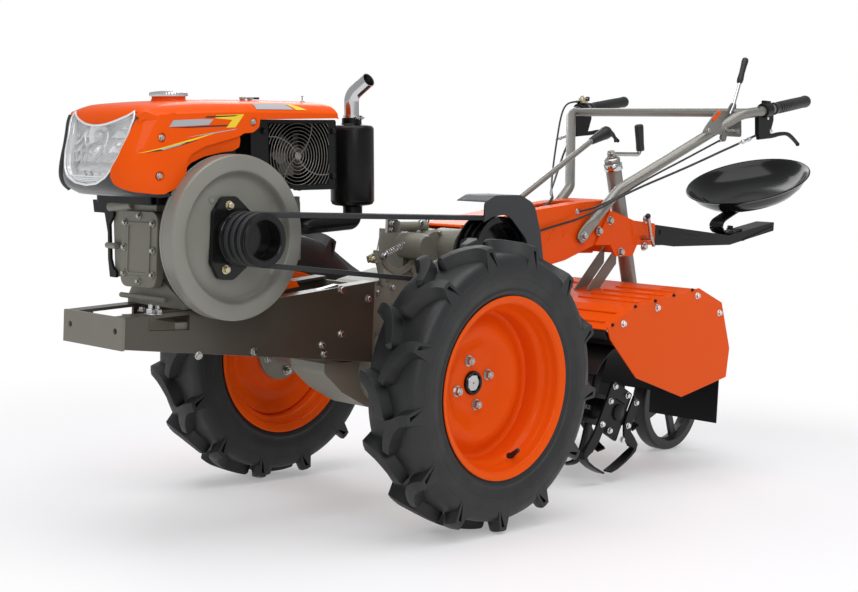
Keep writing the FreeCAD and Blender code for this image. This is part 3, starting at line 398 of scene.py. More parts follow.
def paint(name, col, rough=0.3, coat=0.5, coat_rough=0.06, metal=0.0, var=0.06, peel=0.06, grain=900.0, rvar=0.06, spec=0.5,
          big=2.5):
    """Sprayed paint: slow shade drift, fine speckle, orange peel in the bump."""
    m, nt, b, co = new_mat(name)
    slow = tex(nt, co, big, 2)
    fast = tex(nt, co, grain, 2)
    mix = nt.nodes.new("ShaderNodeMath"); mix.operation = "MULTIPLY_ADD"
    nt.links.new(fast, mix.inputs[0]); mix.inputs[1].default_value = 0.25
    nt.links.new(slow, mix.inputs[2])
    c = ramp(nt, mix.outputs[0], [(0.30, scaled(col, 1 - var)), (0.95, scaled(col, 1 + var))])
    nt.links.new(c, b.inputs["Base Color"])
    r = ramp(nt, tex(nt, co, 14, 4), [(0.3, max(0.02, rough - rvar)), (0.75, rough + rvar)])
    nt.links.new(r, b.inputs["Roughness"])
    b.inputs["Metallic"].default_value = metal
    b.inputs["Specular IOR Level"].default_value = spec
    b.inputs["Coat Weight"].default_value = coat
    b.inputs["Coat Roughness"].default_value = coat_rough
    if peel:
        bump(nt, b, tex(nt, co, 260, 2), peel, 0.0004)
    return m


def metal(name, col, rough=0.25, brushed=0.0, axis=0, var=0.08, spots=0.0):
    m, nt, b, co = new_mat(name)
    mp = nt.nodes.new("ShaderNodeMapping")
    s = [60.0, 60.0, 60.0]
    if brushed:
        s = [900.0, 900.0, 900.0]
        s[axis] = 12.0
    mp.inputs["Scale"].default_value = s
    nt.links.new(co, mp.inputs["Vector"])
    f = tex(nt, mp.outputs[0], 1.0, 4)
    c = ramp(nt, f, [(0.25, scaled(col, 1 - var)), (0.8, scaled(col, 1 + var))])
    nt.links.new(c, b.inputs["Base Color"])
    r = ramp(nt, tex(nt, co, 45, 5), [(0.3, max(0.03, rough * 0.75)), (0.75, rough * 1.3)])
    nt.links.new(r, b.inputs["Roughness"])
    b.inputs["Metallic"].default_value = 1.0
    bump(nt, b, f, 0.05 + 0.1 * brushed, 0.0003)
    return m


def cast(name, col, rough=0.5, coat=0.12, pit=0.35, scale=420.0, metalness=0.0):
    """Painted casting: sand-cast pimples under the paint."""
    m, nt, b, co = new_mat(name)
    f1, f2 = tex(nt, co, scale, 4, 0.6), tex(nt, co, 6, 3)
    c = ramp(nt, f2, [(0.3, scaled(col, 0.90)), (0.75, scaled(col, 1.08))])
    nt.links.new(c, b.inputs["Base Color"])
    r = ramp(nt, f1, [(0.3, rough - 0.08), (0.75, rough + 0.1)])
    nt.links.new(r, b.inputs["Roughness"])
    b.inputs["Metallic"].default_value = metalness
    b.inputs["Coat Weight"].default_value = coat
    b.inputs["Coat Roughness"].default_value = 0.3
    bump(nt, b, f1, pit, 0.0012)
    return m


def rubber(name, col, rough=0.55, scale=500.0, sheen=0.0, bump_s=0.25, var=0.18):
    m, nt, b, co = new_mat(name)
    f1, f2 = tex(nt, co, scale, 4, 0.6), tex(nt, co, 5, 4)
    c = ramp(nt, f2, [(0.3, scaled(col, 1 - var)), (0.75, scaled(col, 1 + var))])
    nt.links.new(c, b.inputs["Base Color"])
    r = ramp(nt, tex(nt, co, 22, 5), [(0.3, rough - 0.07), (0.75, rough + 0.1)])
    nt.links.new(r, b.inputs["Roughness"])
    bump(nt, b, f1, bump_s, 0.0006)
    return m


def plastic(name, col, rough=0.45, grain=700.0, pit=0.2, coat=0.0):
    m, nt, b, co = new_mat(name)
    f1 = tex(nt, co, grain, 3, 0.5)
    c = ramp(nt, tex(nt, co, 8, 3), [(0.3, scaled(col, 0.92)), (0.75, scaled(col, 1.08))])
    nt.links.new(c, b.inputs["Base Color"])
    r = ramp(nt, f1, [(0.3, rough - 0.05), (0.75, rough + 0.07)])
    nt.links.new(r, b.inputs["Roughness"])
    b.inputs["Coat Weight"].default_value = coat
    bump(nt, b, f1, pit, 0.0005)
    return m


ORANGE = paint("orange_paint", (0.760, 0.084, 0.0035), rough=0.42, coat=0.26, coat_rough=0.04, var=0.03, peel=0.03, spec=0.03)
ORANGE.node_tree.nodes["Principled BSDF"].inputs["Coat IOR"].default_value = 1.30
OLIVE = paint("olive_grey_paint", (0.150, 0.141, 0.108), rough=0.42, coat=0.25, coat_rough=0.2, var=0.05, peel=0.06, spec=0.5)
# darker copy of the olive paint: painted shade for the frame rails, whose sides stand in shade; the cooling fan and the
# clutch linkage get it too
OLIVE_SHADED = paint("olive_painted_shade", (0.050, 0.041, 0.030), rough=0.38, coat=0.3, coat_rough=0.18, var=0.06, peel=0.05)
OLIVE_CAST = cast("olive_casting", (0.200, 0.191, 0.153), rough=0.47, pit=0.25)
FLY = cast("flywheel_paint", (0.200, 0.196, 0.170), rough=0.40, coat=0.3, pit=0.08, scale=650)
HANDLE = paint("handle_grey_paint", (0.235, 0.225, 0.205), rough=0.36, coat=0.25, coat_rough=0.12, metal=0.55, var=0.03, peel=0.0)
BLACK = paint("black_gloss_paint", (0.0055, 0.0055, 0.0060), rough=0.17, coat=0.0, coat_rough=0.06, var=0.1, peel=0.03, spec=0.28, rvar=0.03)
BLACK_SAT = paint("black_satin_paint", (0.0065, 0.0065, 0.0070), rough=0.36, coat=0.0, coat_rough=0.25, var=0.1, peel=0.06, spec=0.20)
MUFFLER = paint("muffler_black", (0.0055, 0.0052, 0.0050), rough=0.30, coat=0.0, coat_rough=0.12, var=0.12, peel=0.06, spec=0.20)
GUARD = plastic("guard_plastic", (0.020, 0.022, 0.025), rough=0.48, pit=0.3)
BLACK_PL = plastic("black_plastic", (0.010, 0.010, 0.011), rough=0.42, pit=0.2)
CHIN = plastic("dark_trim_plastic", (0.024, 0.025, 0.027), rough=0.36, pit=0.15, coat=0.2)
CHROME = metal("chrome_plate", (0.60, 0.60, 0.61), rough=0.12, var=0.03)
ZINC = metal("zinc_plate", (0.46, 0.455, 0.43), rough=0.30, var=0.10)
ZINC_Y = metal("yellow_zinc", (0.62, 0.55, 0.38), rough=0.28, var=0.10)
STEEL = metal("bright_steel", (0.55, 0.55, 0.55), rough=0.28, brushed=0.5, axis=2, var=0.1)
SILVER = metal("silver_paint", (0.66, 0.66, 0.67), rough=0.24, var=0.03)
TYRE = rubber("tyre_rubber", (0.0098, 0.0104, 0.0113), rough=0.50, scale=650, bump_s=0.10)
BELT = rubber("belt_rubber", (0.020, 0.021, 0.023), rough=0.6, scale=900, bump_s=0.3)
# near-black for places that are only shade: painted shade
HOLE_SHADE = plastic("painted_hole_shade", (0.004, 0.004, 0.004), rough=0.7, pit=0.1)
# ==================================================== tyres, rims, hubs
TYRE_OUT = [(71, 203.4), (72, 219), (73.6, 224), (76.4, 228.5), (78.6, 231), (79.2, 233.5), (78.6, 236), (77.6, 238.2), (77.9, 242), (79.2, 248),
            (81.0, 256), (82.2, 265), (82.7, 275), (82.3, 286), (80.9, 297), (78.0, 307.5), (73.2, 315.5), (66, 319.6), (54, 321.4),
            (36, 322.6), (18, 323.2), (0, 323.4)]
TYRE_IN = [(44, 311), (66, 300), (70, 262), (60, 236), (55, 203.4)]


def carcass_r(x):
    x = abs(x)
    best = 203.4
    for (x0, r0), (x1, r1) in zip(TYRE_OUT[15:], TYRE_OUT[16:]):
        if x1 <= x <= x0:
            return r0 + (r1 - r0) * (x0 - x) / (x0 - x1)
    return 307.0 if x > 70 else 323.0


def top_r(x):
    x = abs(x)
    return 351.7 if x < 45 else 351.7 - ((x - 45) / 33) ** 1.6 * 7.0


LUG = [(74, 0.0), (60, 0.45), (46, 1.6), (33, 3.5), (22, 5.8), (13, 8.4), (6, 11.0), (1.5, 13.4), (-1.5, 15.0)]
LUGS = 13
REF = 338.0


def lug(b, at, S, side, th0):
    """One bar of the tread, from its buttress on the sidewall to past the middle."""
    pts = spline([(x, rad(d) * REF, 0) for x, d in LUG], 2)
    n = len(pts)
    rings = []

    def put(x, s, r):
        th = rad(th0) + s / REF
        return (at + S * side * x, r * math.cos(th), 352 + r * math.sin(th))

    # end ring on the shoulder: x, arc at its own radius, radius
    er = [(80.6, 17.5, 312), (78.6, 12.0, 343.0), (78.4, 0, 344.6), (78.6, -12.0, 343.0), (80.6, -18.5, 312), (82.9, -25, 277), (82.9, 22, 277)]
    rings.append([put(x, s * REF / r, r) for x, s, r in er])
    for i, p in enumerate(pts):
        t = (pts[min(i + 1, n - 1)] - pts[max(i - 1, 0)]).normalized()
        nx, ns = t.y, -t.x
        k = i / (n - 1)
        w = (25.0 if k < 0.5 else 25.0 - (k - 0.5) * 2 * 8.0) / 2
        bs = 8.5 if i < n - 1 else 6.0
        rt, rc = top_r(p.x), carcass_r(p.x)
        if i == n - 1:
            rt -= 3.0
        sec = [(w + bs, rc - 2.5), (w, rt - 1.0), (0, rt), (-w, rt - 1.0), (-w - bs, rc - 2.5), (-w - bs * 0.4, rc - 13), (w + bs * 0.4, rc - 13)]
        ring = []
        for q, (o, r) in enumerate(sec):
            x_, s_ = p.x + nx * o, p.y + ns * o
            if i == 0 and q == 5:
                x_, s_, r = 76.0, -21.0 * REF / 284, 284
            if i == 0 and q == 6:
                x_, s_, r = 76.0, 19.0 * REF / 284, 284
            if i == 0 and q in (0, 4):
                r = 311
            ring.append(put(x_, s_, r))
        rings.append(ring)
    # rounded end near the middle of the tread
    p, t = pts[-1], (pts[-1] - pts[-2]).normalized()
    nx, ns = t.y, -t.x
    rt, rc = top_r(0) - 7.0, carcass_r(0)
    q = p + t * 5.0
    ring = []
    for o, r in [(10.0, rc - 2.5), (4.5, rt - 1.5), (0, rt), (-4.5, rt - 1.5), (-10.0, rc - 2.5), (-6, rc - 13), (6, rc - 13)]:
        ring.append(put(q.x + nx * o, q.y + ns * o, r))
    rings.append(ring)
    verts = [v for r_ in rings for v in r_]
    faces = []
    for i in range(len(rings) - 1):
        for j in range(7):
            a, c = i * 7 + j, i * 7 + (j + 1) % 7
            faces.append((a, c, c + 7, a + 7))
    k = (len(rings) - 1) * 7
    faces.append(tuple(k + j for j in range(7)))
    # end face with its three-cornered pocket
    m = len(verts)
    for x, s, r in ((79.0, 5.2, 334.5), (79.0, -5.2, 334.5), (82.3, -18.5, 287), (64, 4.0, 333.5), (64, -4.0, 333.5), (78, -16.5, 294)):
        verts.append(put(x, s * REF / r, r))
    a, b_, c, a2, b2, c2 = range(m, m + 6)
    faces += [(1, 2, a), (2, b_, a), (2, 3, b_), (3, 4, b_), (4, c, b_), (4, 5, c), (5, 6, c), (6, 0, c), (0, a, c), (0, 1, a),
              (a, b_, b2, a2), (b_, c, c2, b2), (c, a, a2, c2), (a2, b2, c2)]
    b.add(verts, faces)


def tyre(S, name):
    b = Build(MA, [TYRE])
    at = S * 395.0
    prof = TYRE_OUT + [(-x, r) for x, r in reversed(TYRE_OUT[:-1])]
    inner = TYRE_IN
    prof = prof + [(-x, r) for x, r in reversed(inner)] + inner
    b.lathe(prof, (at, 0, 352), (1, 0, 0), 130)
    pitch = 360.0 / LUGS
    for k in range(LUGS):
        lug(b, at, S, 1, 105 + pitch * k)
        lug(b, at, S, -1, 105 + pitch * (k + 0.5))
    # moulding marks: vent whiskers and a mould line are too small to matter, the two fine sidewall ribs are not
    for side in (1, -1):
        for r, x in ((262, 81.9), (291, 81.8)):
            b.lathe([(-0.8, r - 1.1), (0.35, r - 0.5), (0.35, r + 0.5), (-0.8, r + 1.1)], (at + side * x, 0, 352), (side, 0, 0), 130)
    return b.make(name, "left_wheel" if S > 0 else "right_wheel", bevel=1.6, seg=2, sharp=30, slot="tyre", replaces="tyre_left" if S > 0 else "tyre_right", limit=34)


RIM_OUT = [(75.2, 221.4), (73.2, 220.6), (71.8, 217.5), (70.9, 206), (68, 203.1), (54, 203.0), (48, 200.6), (43, 197.6), (33, 196.6), (27, 193.0),
           (21, 186.5), (15, 184.3), (-40, 184.0), (-47, 186), (-52, 196), (-56, 203.0), (-68, 203.1), (-70.9, 206), (-71.8, 217.5), (-73.2, 220.6),
           (-75.2, 221.4)]
RIM_IN = [(-76.9, 220.0), (-77.2, 217.6), (-76.2, 214.5), (-73.4, 208.0), (-69.5, 201.2), (-66, 200.0), (-57.5, 199.8), (-54.5, 193), (-49, 182.5), (-44, 180.6),
          (15, 180.8), (22, 183.5), (28, 189.4), (33.5, 193.0), (42, 194.0), (47.5, 196.8), (54, 199.6), (66, 200.0), (69.5, 201.2), (73.4, 208.0),
          (76.2, 214.5), (77.2, 217.6), (76.9, 220.0)]
DISC = [(-37, 29), (-37, 62), (-36.8, 70), (-35.6, 78), (-31.5, 87), (-25.0, 96), (-18.6, 105), (-14.2, 114), (-11.6, 124), (-11.0, 134), (-12.6, 144),
        (-16.4, 153), (-20.6, 161), (-23.4, 168), (-24.2, 173.5), (-22.0, 178.5), (-18.6, 181.5)]


def rim(S):
    body = "left_wheel" if S > 0 else "right_wheel"
    at = S * 395.0
    b = Build(MA, [ORANGE])
    prof = RIM_OUT + RIM_IN
    b.lathe([(S * x, r) for x, r in prof], (at, 0, 352), (1, 0, 0), 144)

    def wave(x, r, a, j):
        # four raised lobes round the hub
        th = math.degrees(a) + 90
        k = math.cos(rad(4 * (th - 60)))
        if 74 < r < 128:
            f = math.sin((r - 74) / 54 * math.pi)
            x += S * 4.6 * k * f
            r += 7.0 * k * f
        if 60 < r < 160:
            g = math.sin((r - 60) / 100 * math.pi)
            x += S * 1.2 * math.cos(rad(8 * (th - 60))) * g
        return x, r
    front = [(S * x, r) for x, r in DISC]
    back = [(S * (x - 4.6), r) for x, r in reversed(DISC)]
    b.lathe(front + back, (at, 0, 352), (1, 0, 0), 144, wave=wave)
    o = b.make("rim_visual_" + body, body, bevel=0.7, seg=2, sharp=50, slot="orange_paint", replaces="rim_left" if S > 0 else "rim_right", limit=50)
    # wheel bolts, nuts behind, hub flange and axle end
    h = Build(MA, [ZINC, BLACK, STEEL, BLACK_PL, OLIVE_CAST])
    x0 = at - S * 37
    for k in range(4):
        a = rad(17 + 90 * k)
        y, z = 57 * math.cos(a), 352 + 57 * math.sin(a)
        h.use(ZINC).bolt((x0 + S * 0.1, y, z), (S, 0, 0), 19, 11.5, washer=1.5, turn=17 * k, stud=2.0)
        h.use(ZINC).bolt((x0 - S * 19, y, z), (-S, 0, 0), 19, 10, washer=1.4, turn=9 * k, stud=5)
    # black ring with a six-sided bore, and the axle end inside it
    n = 60
    verts, faces = [], []
    for i in range(n):
        a = 2 * math.pi * i / n
        hexr = 20.5 / math.cos(((a + rad(30)) % rad(60)) - rad(30))
        for x, r in ((0.4, 29.3), (6.6, 29.0), (8.6, 27.2), (8.6, hexr + 1.2), (7.6, hexr), (-6, hexr), (-6, 29.3)):
            verts.append((x0 + S * x, r * math.cos(a), 352 + r * math.sin(a)))
    for i in range(n):
        p, q = i * 7, ((i + 1) % n) * 7
        for j in range(7):
            k = (j + 1) % 7
            faces.append((p + j, q + j, q + k, p + k))
    h.use(BLACK).add(verts, faces)
    verts = []
    for x, kk in ((-5.9, 1.0), (4.2, 1.0), (5.4, 0.93)):
        for i in range(6):
            a = rad(60 * i)
            verts.append((x0 + S * x, 22.6 * kk * math.cos(a), 352 + 22.6 * kk * math.sin(a)))
    fc = [(L * 6 + i, L * 6 + (i + 1) % 6, (L + 1) * 6 + (i + 1) % 6, (L + 1) * 6 + i) for L in range(2) for i in range(6)]
    h.use(STEEL).add(verts, fc + [tuple(range(6)), tuple(range(12, 18))])
    # thin black disc on the axle end: painted shade of its centre hole
    h.use(HOLE_SHADE).rod((x0 + S * 5.3, 0, 352), (x0 + S * 5.6, 0, 352), 2.2, n=12)
    # flange and boss behind the disc
    h.use(OLIVE_CAST).lathe([(-5.2, 26), (-5.2, 76), (-7.0, 78), (-16, 78), (-18, 76), (-18.5, 44), (-22, 37), (-56, 34.5), (-57, 26)],
                            (x0, 0, 352), (S, 0, 0), 64)
    h.make("hub_visual_" + body, body, bevel=0.5, seg=2, sharp=35, slot="steel", replaces="hub_left" if S > 0 else "hub_right")
    # rubber valve in the well
    va = Build(MA, [BLACK_PL])
    th = rad(-67 if S > 0 else 113)
    c = Vector((0, math.cos(th), math.sin(th)))
    p = Vector((at + S * 33, 192.0 * c.y, 352 + 192.0 * c.z))
    d = (Vector((S, 0, 0)) * 0.80 - c * 0.60).normalized()
    va.lathe([(-4, 0), (-4, 10.5), (2, 9.6), (5, 8.0), (8, 6.6), (24, 5.6), (26, 5.0), (27, 5.0), (28, 5.6), (37, 5.4), (39, 4.4), (39.4, 0)], p, d, 24, closed=False)
    va.make("tyre_valve_" + body, body, sharp=40, slot="black_plastic")


for S_ in (1, -1):
    tyre(S_, "tyre_visual_left" if S_ > 0 else "tyre_visual_right")
    rim(S_)

# ========================================================= hood and nose
def table(tab, x):
    if x <= tab[0][0]:
        return tab[0][1]
    for (a, p), (b, q) in zip(tab, tab[1:]):
        if x <= b:
            return p + (q - p) * (x - a) / (b - a)
    return tab[-1][1]


def dense(tab, per=6):
    return [(p.x, p.y) for p in spline([(a, b, 0) for a, b in tab], per)]


def step01(t):
    t = max(0.0, min(1.0, t))
    return t * t * (3 - 2 * t)


ROOF = dense([(-239, 248.5), (-237.5, 255), (-233, 265), (-226, 276), (-215, 285), (-201, 290.5), (-180, 294), (-120, 298), (-60, 300.5), (20, 302),
              (100, 302.5), (200, 301), (285, 298.8), (316, 297.8), (328, 297.2), (331, 296.6)], 5)
DROP = dense([(0, 0), (40, 0.9), (75, 2.8), (100, 5.2), (116, 8.0), (126, 11.4), (134, 15.6), (141, 20.2), (146, 24.2), (148.6, 27.5)], 4)
WIDE = dense([(-245, 121), (-238, 125), (-226, 132), (-210, 139), (-190, 145.5), (-165, 148.6), (-140, 149)], 4)
SHIFT = dense([(0, 0), (40, 0.6), (65, 2), (85, 4.5), (100, 7.5), (112, 11), (122, 13), (135, 13), (149, 13)], 3)
TONGUE = dense([(0, 248.5), (25, 249.8), (45, 253.2), (62, 257.5), (80, 262.5), (98, 268), (112, 272), (122, 266)], 4)
_len = [0.0]
for (a_, b_), (c_, d_) in zip(ROOF, ROOF[1:]):
    _len.append(_len[-1] + math.hypot(c_ - a_, d_ - b_))


def on_roof(L):
    for i in range(len(ROOF) - 1):
        if L <= _len[i + 1] or i == len(ROOF) - 2:
            t = (L - _len[i]) / max(1e-9, _len[i + 1] - _len[i])
            return ROOF[i][0] + (ROOF[i + 1][0] - ROOF[i][0]) * t, ROOF[i][1] + (ROOF[i + 1][1] - ROOF[i][1]) * t


def roof_point(a, L, up=0.0):
    """Hood top at side fraction a, path length L from the nose tip."""
    y, z = on_roof(L)
    w = table(WIDE, y)
    x = a * w
    wf = 1 - step01((y + 239) / 80)
    wd = step01((y + 241) / 58) * min(1.0, max(0.0, (z - 262) / 33))
    # a shallow hollow runs back from the tongue between two soft shoulders
    dip = -2.2 * math.exp(-((abs(x) - 84) / 26) ** 2) * step01((y + 235) / 50) * (1 - step01((y + 60) / 160))
    return Vector((x, y + table(SHIFT, abs(x)) * wf, z - table(DROP, abs(a) * 149) * wd - dip + up))


def hood_top():
    cols = [-1 + 2 * i / 44 for i in range(45)]
    rows = 84
    starts = []
    for a in cols:
        L = 0.0
        while L < 60:
            p = roof_point(a, L)
            if p.z >= table(TONGUE, abs(p.x)):
                break
            L += 0.4
        starts.append(L)
    grid = []
    for j in range(rows + 1):
        t = (j / rows) ** 1.25
        row = []
        for a, L0 in zip(cols, starts):
            row.append(roof_point(a, L0 + (_len[-1] - L0) * t))
        lip = []
        for s in (-1, 1):
            p = row[0] if s < 0 else row[-1]
            low = 257.8 if p.y > 40 else (p.z - 16)
            low = min(low, p.z - 1.0)
            lip.append([Vector((p.x + s * 0.5, p.y, p.z - (p.z - low) * 0.22)), Vector((p.x - s * 0.1, p.y, p.z - (p.z - low) * 0.5)),
                        Vector((p.x - s * 0.6, p.y, low))])
        grid.append(list(reversed(lip[0])) + row + lip[1])
    n = len(grid[0])
    grid.append([Vector((p.x, 331.4, p.z - 0.9)) for p in grid[-1]])
    grid.append([Vector((p.x, 331.6, p.z - 0.30 * (p.z - 257.8))) for p in grid[-1]])
    grid.append([Vector((p.x, 331.6, 257.8)) for p in grid[-1]])
    rows += 3
    b = Build(ME, [ORANGE])
    b.add([p for r in grid for p in r], [(j * n + i, j * n + i + 1, (j + 1) * n + i + 1, (j + 1) * n + i) for j in range(rows) for i in range(n - 1)])
    o = b.make("hood_top_visual", "chassis", sharp=60, slot="orange_paint", replaces="hood")
    s = o.modifiers.new("Solidify", "SOLIDIFY"); s.thickness = 0.0032; s.offset = -1; s.use_even_offset = False
    bv = o.modifiers.new("Bevel", "BEVEL"); bv.width = 0.0011; bv.segments = 2; bv.limit_method = "ANGLE"; bv.angle_limit = rad(50); bv.harden_normals = True
    # even outward normals before the thickness is added
    me = o.data
    if sum(p.normal.z for p in me.polygons) < 0:
        me.flip_normals()
    return o


PLANC = dense([(150.6, 110), (150.6, 0), (150.6, -150), (150.5, -168), (149.6, -187), (147, -205), (142, -222), (134.5, -236.5), (124, -248.5),
               (112, -257), (98, -263), (84, -267.5), (70, -270.5), (54, -272.6)], 5)
_ps = [-110.0]
for (a_, b_), (c_, d_) in zip(PLANC, PLANC[1:]):
    _ps.append(_ps[-1] + math.hypot(c_ - a_, d_ - b_))
LEAN = dense([(100, 26), (106, 12), (112, 5), (122, -2), (134, -5), (160, -4.5), (180, 0), (202, 5.5), (230, 17), (250, 25), (268, 34), (280, 41)], 3)


def s_of_x(x):
    for i in range(len(PLANC) - 1):
        if PLANC[i][0] >= x >= PLANC[i + 1][0] and PLANC[i + 1][1] < -168:
            t = (PLANC[i][0] - x) / max(1e-9, PLANC[i][0] - PLANC[i + 1][0])
            return _ps[i] + (_ps[i + 1] - _ps[i]) * t
    return _ps[-1]


def cheek(S, s, z, out=0.0):
    x, y = PLANC[-1]
    nx, ny = 1.0, 0.0
    for i in range(len(PLANC) - 1):
        if s <= _ps[i + 1] or i == len(PLANC) - 2:
            t = (s - _ps[i]) / (_ps[i + 1] - _ps[i])
            x = PLANC[i][0] + (PLANC[i + 1][0] - PLANC[i][0]) * t
            y = PLANC[i][1] + (PLANC[i + 1][1] - PLANC[i][1]) * t
            dx, dy = PLANC[i + 1][0] - PLANC[i][0], PLANC[i + 1][1] - PLANC[i][1]
            l = math.hypot(dx, dy)
            nx, ny = -dy / l, dx / l
            break
    w = step01((s - 150) / 90)
    x -= ((z - 190) / 90) ** 2 * 1.2
    return Vector((S * (x + nx * out), y + ny * out + table(LEAN, z) * w, z))


def inside(poly, x, y):
    c = False
    n = len(poly)
    j = n - 1
    for i in range(n):
        xi, yi = poly[i]; xj, yj = poly[j]
        if (yi > y) != (yj > y) and x < (xj - xi) * (y - yi) / (yj - yi) + xi:
            c = not c
        j = i
    return c


def split_edges(poly, step):
    out = []
    for p, q in zip(poly, poly[1:] + poly[:1]):
        k = max(1, int(math.hypot(q[0] - p[0], q[1] - p[1]) / step + 0.5))
        out += [(p[0] + (q[0] - p[0]) * i / k, p[1] + (q[1] - p[1]) * i / k) for i in range(k)]
    return out


def panel(poly, holes=(), dx=7.0, dy=9.0, step=5.0):
    """Flat outline with holes filled with even triangles."""
    from mathutils.geometry import delaunay_2d_cdt
    poly = split_edges([tuple(p) for p in poly], step)
    pts, edges = list(poly), [(i, (i + 1) % len(poly)) for i in range(len(poly))]
    for h in holes:
        k = len(pts)
        pts += h
        edges += [(k + i, k + (i + 1) % len(h)) for i in range(len(h))]
    x0, x1 = min(p[0] for p in poly), max(p[0] for p in poly)
    y0, y1 = min(p[1] for p in poly), max(p[1] for p in poly)
    edge_pts = list(pts)
    j = 0
    y = y0 + dy / 2
    while y < y1:
        x = x0 + dx * (0.5 if j % 2 else 0.25)
        while x < x1:
            if inside(poly, x, y) and not any(inside(h, x, y) for h in holes) and \
                    min((x - a) ** 2 + (y - b) ** 2 for a, b in edge_pts) > (min(dx, dy) * 0.55) ** 2:
                pts.append((x, y))
            x += dx
        y += dy
        j += 1
    v, e, f, _, _, _ = delaunay_2d_cdt([Vector(p) for p in pts], edges, [], 0, 1e-5)
    v = [(p.x, p.y) for p in v]
    keep = []
    for t in f:
        cx, cy = sum(v[i][0] for i in t) / 3, sum(v[i][1] for i in t) / 3
        if inside(poly, cx, cy) and not any(inside(h, cx, cy) for h in holes):
            keep.append(tuple(t))
    return v, keep


def shell(b, name, body, thick, bev, slot=None, replaces=(), flip=None, sharp=60):
    o = b.make(name, body, sharp=sharp, slot=slot, replaces=replaces)
    me = o.data
    if flip is not None:
        k = sum(p.normal.dot(Vector(flip)) * p.area for p in me.polygons)
        if k < 0:
            me.flip_normals()
    s = o.modifiers.new("Solidify", "SOLIDIFY"); s.thickness = thick / 1000; s.offset = -1
    if bev:
        bv = o.modifiers.new("Bevel", "BEVEL"); bv.width = bev / 1000; bv.segments = 2; bv.limit_method = "ANGLE"; bv.angle_limit = rad(50)
        bv.harden_normals = True
    return o


def circle(c, r, n=28):
    return [(c[0] + r * math.cos(2 * math.pi * i / n), c[1] + r * math.sin(2 * math.pi * i / n)) for i in range(n)]


CHEEK = rounded([(s_of_x(122), 266, 12), (s_of_x(117), 232, 60), (s_of_x(107), 186, 60), (s_of_x(94), 158, 30), (s_of_x(92), 143, 14), (s_of_x(99), 127, 20),
                 (s_of_x(112), 117, 30), (s_of_x(126), 110.5, 30), (208, 103.5, 30), (178, 103, 20), (150, 111, 14), (124, 125, 14), (115.5, 146, 20), (111, 172, 14),
                 (100, 186, 16), (62, 202, 30), (-5, 215.5, 30), (-37, 223, 6), (-46, 228, 5), (-72, 229.5, 14), (-90, 240, 10), (-97, 272.5, 5), (20, 273.2),
                 (100, 272.6), (190, 270.8, 40)], 5)
ARCH = rounded([(-150, 130), (-134, 126, 10), (-115, 139, 12), (-113, 152, 14), (-95, 167, 20), (-60, 179, 20), (-10, 187, 20), (20, 189, 12), (39, 197, 8), (42, 212, 6),
                (41, 240), (-60, 240), (-150, 200)], 4)
BOLTS_AT = [(181.3, 222.7), (183.6, 142.0), (-74.4, 253.0)]
for S in (1, -1):
    out_ = CHEEK if S > 0 else [(min(p[0], 237 if p[1] < 262 else 240), p[1]) for p in CHEEK]
    v_, f_ = panel(out_, [circle(c, 10.5) for c in BOLTS_AT])
    b = Build(ME, [ORANGE])
    b.add([cheek(S, s, z) for s, z in v_], f_)
    shell(b, "hood_cheek_left" if S > 0 else "hood_cheek_right", "chassis", 3.0, 1.5, slot="orange_paint", flip=(S, -0.3, 0), sharp=80)
    b = Build(ME, [ORANGE])
    b.prism(ARCH, "YZ", S * 139.5, S * 142.5) if S > 0 else b.prism(ARCH, "YZ", -142.5, -139.5)
    # the wheel arch, with its rolled edge and the web to the panel, as one flat plate with bevelled edges
    b.make("hood_arch_left" if S > 0 else "hood_arch_right", "chassis", bevel=1.2, slot="orange_paint")
    b = Build(ME, [ORANGE, ZINC])
    for s, z in BOLTS_AT:
        p = cheek(S, s, z)
        b.use(ORANGE).lathe([(-0.2, 10.9), (-1.4, 10.0), (-4.2, 8.6), (-4.6, 0)], p, (S, 0, 0), 28, closed=False)
        b.use(ZINC).bolt(p + Vector((-S * 4.6, 0, 0)), (S, 0, 0), 10.5, 6.0, washer=1.35, turn=12, flange=True)
    b.make("hood_bolts_left" if S > 0 else "hood_bolts_right", "chassis", sharp=30, slot="steel")
hood_top()

# ------------------------------------------------------------ head lamp
NOSEY = dense([(100, -238), (105, -250), (111, -259), (119, -267), (134, -272.6), (150, -272.4), (160, -271), (180, -266.5), (202, -260.5), (230, -248.5),
               (250, -240), (268, -231), (285, -222)], 4)
NOSEX = dense([(0, 0), (40, 1.6), (70, 5), (84, 8), (98, 12.5), (112, 18.5), (124, 27), (134, 39), (142, 54), (147, 71), (149.6, 89), (150.4, 110)], 4)


def nose_point(x, z, back=0.0):
    # each height has its own corner, tighter near the top
    k = 1.0 - 0.45 * step01((z - 200) / 66)
    return Vector((x, table(NOSEY, z) + table(NOSEX, abs(x)) * k + back + 1.6, z))


LAMP = rounded([(-112, 279), (-117.5, 264, 4), (-112.5, 230, 60), (-102, 186, 60), (-88, 157, 26), (-72, 139, 26), (-40, 125, 40), (0, 121, 60), (40, 125, 40), (72, 139, 26),
                (88, 157, 26), (102, 186, 60), (112.5, 230, 60), (117.5, 264, 4), (112, 279), (98, 270), (78, 262.5), (60, 257), (40, 252), (20, 249.6), (0, 248.6),
                (-20, 249.6), (-40, 252), (-60, 257), (-78, 262.5), (-98, 270)], 5)
TRIM = rounded([(-127, 272, 4), (-137, 262), (-137, 231), (-137, 186), (-137, 158), (-137, 143, 14), (-134, 127, 20), (-130, 117, 30), (-127, 110.5, 30), (-148, 105, 10),
                (-150, 100.5, 4), (-120, 101.0, 20), (-60, 101.8), (0, 102.4), (60, 101.8), (120, 101.0, 20), (150, 100.5, 4), (148, 105, 10), (127, 110.5, 30), (113, 117, 30), (100, 127, 20),
                (94, 143, 14), (95, 158, 26), (107.5, 186, 60), (117.5, 231, 60), (122.5, 266), (121.5, 274, 4), (112, 278), (98, 272.5), (78, 265), (60, 259.5), (40, 254.5),
                (0, 251), (-40, 254.5), (-60, 259.5), (-78, 265), (-98, 272.5), (-112, 278)], 5)


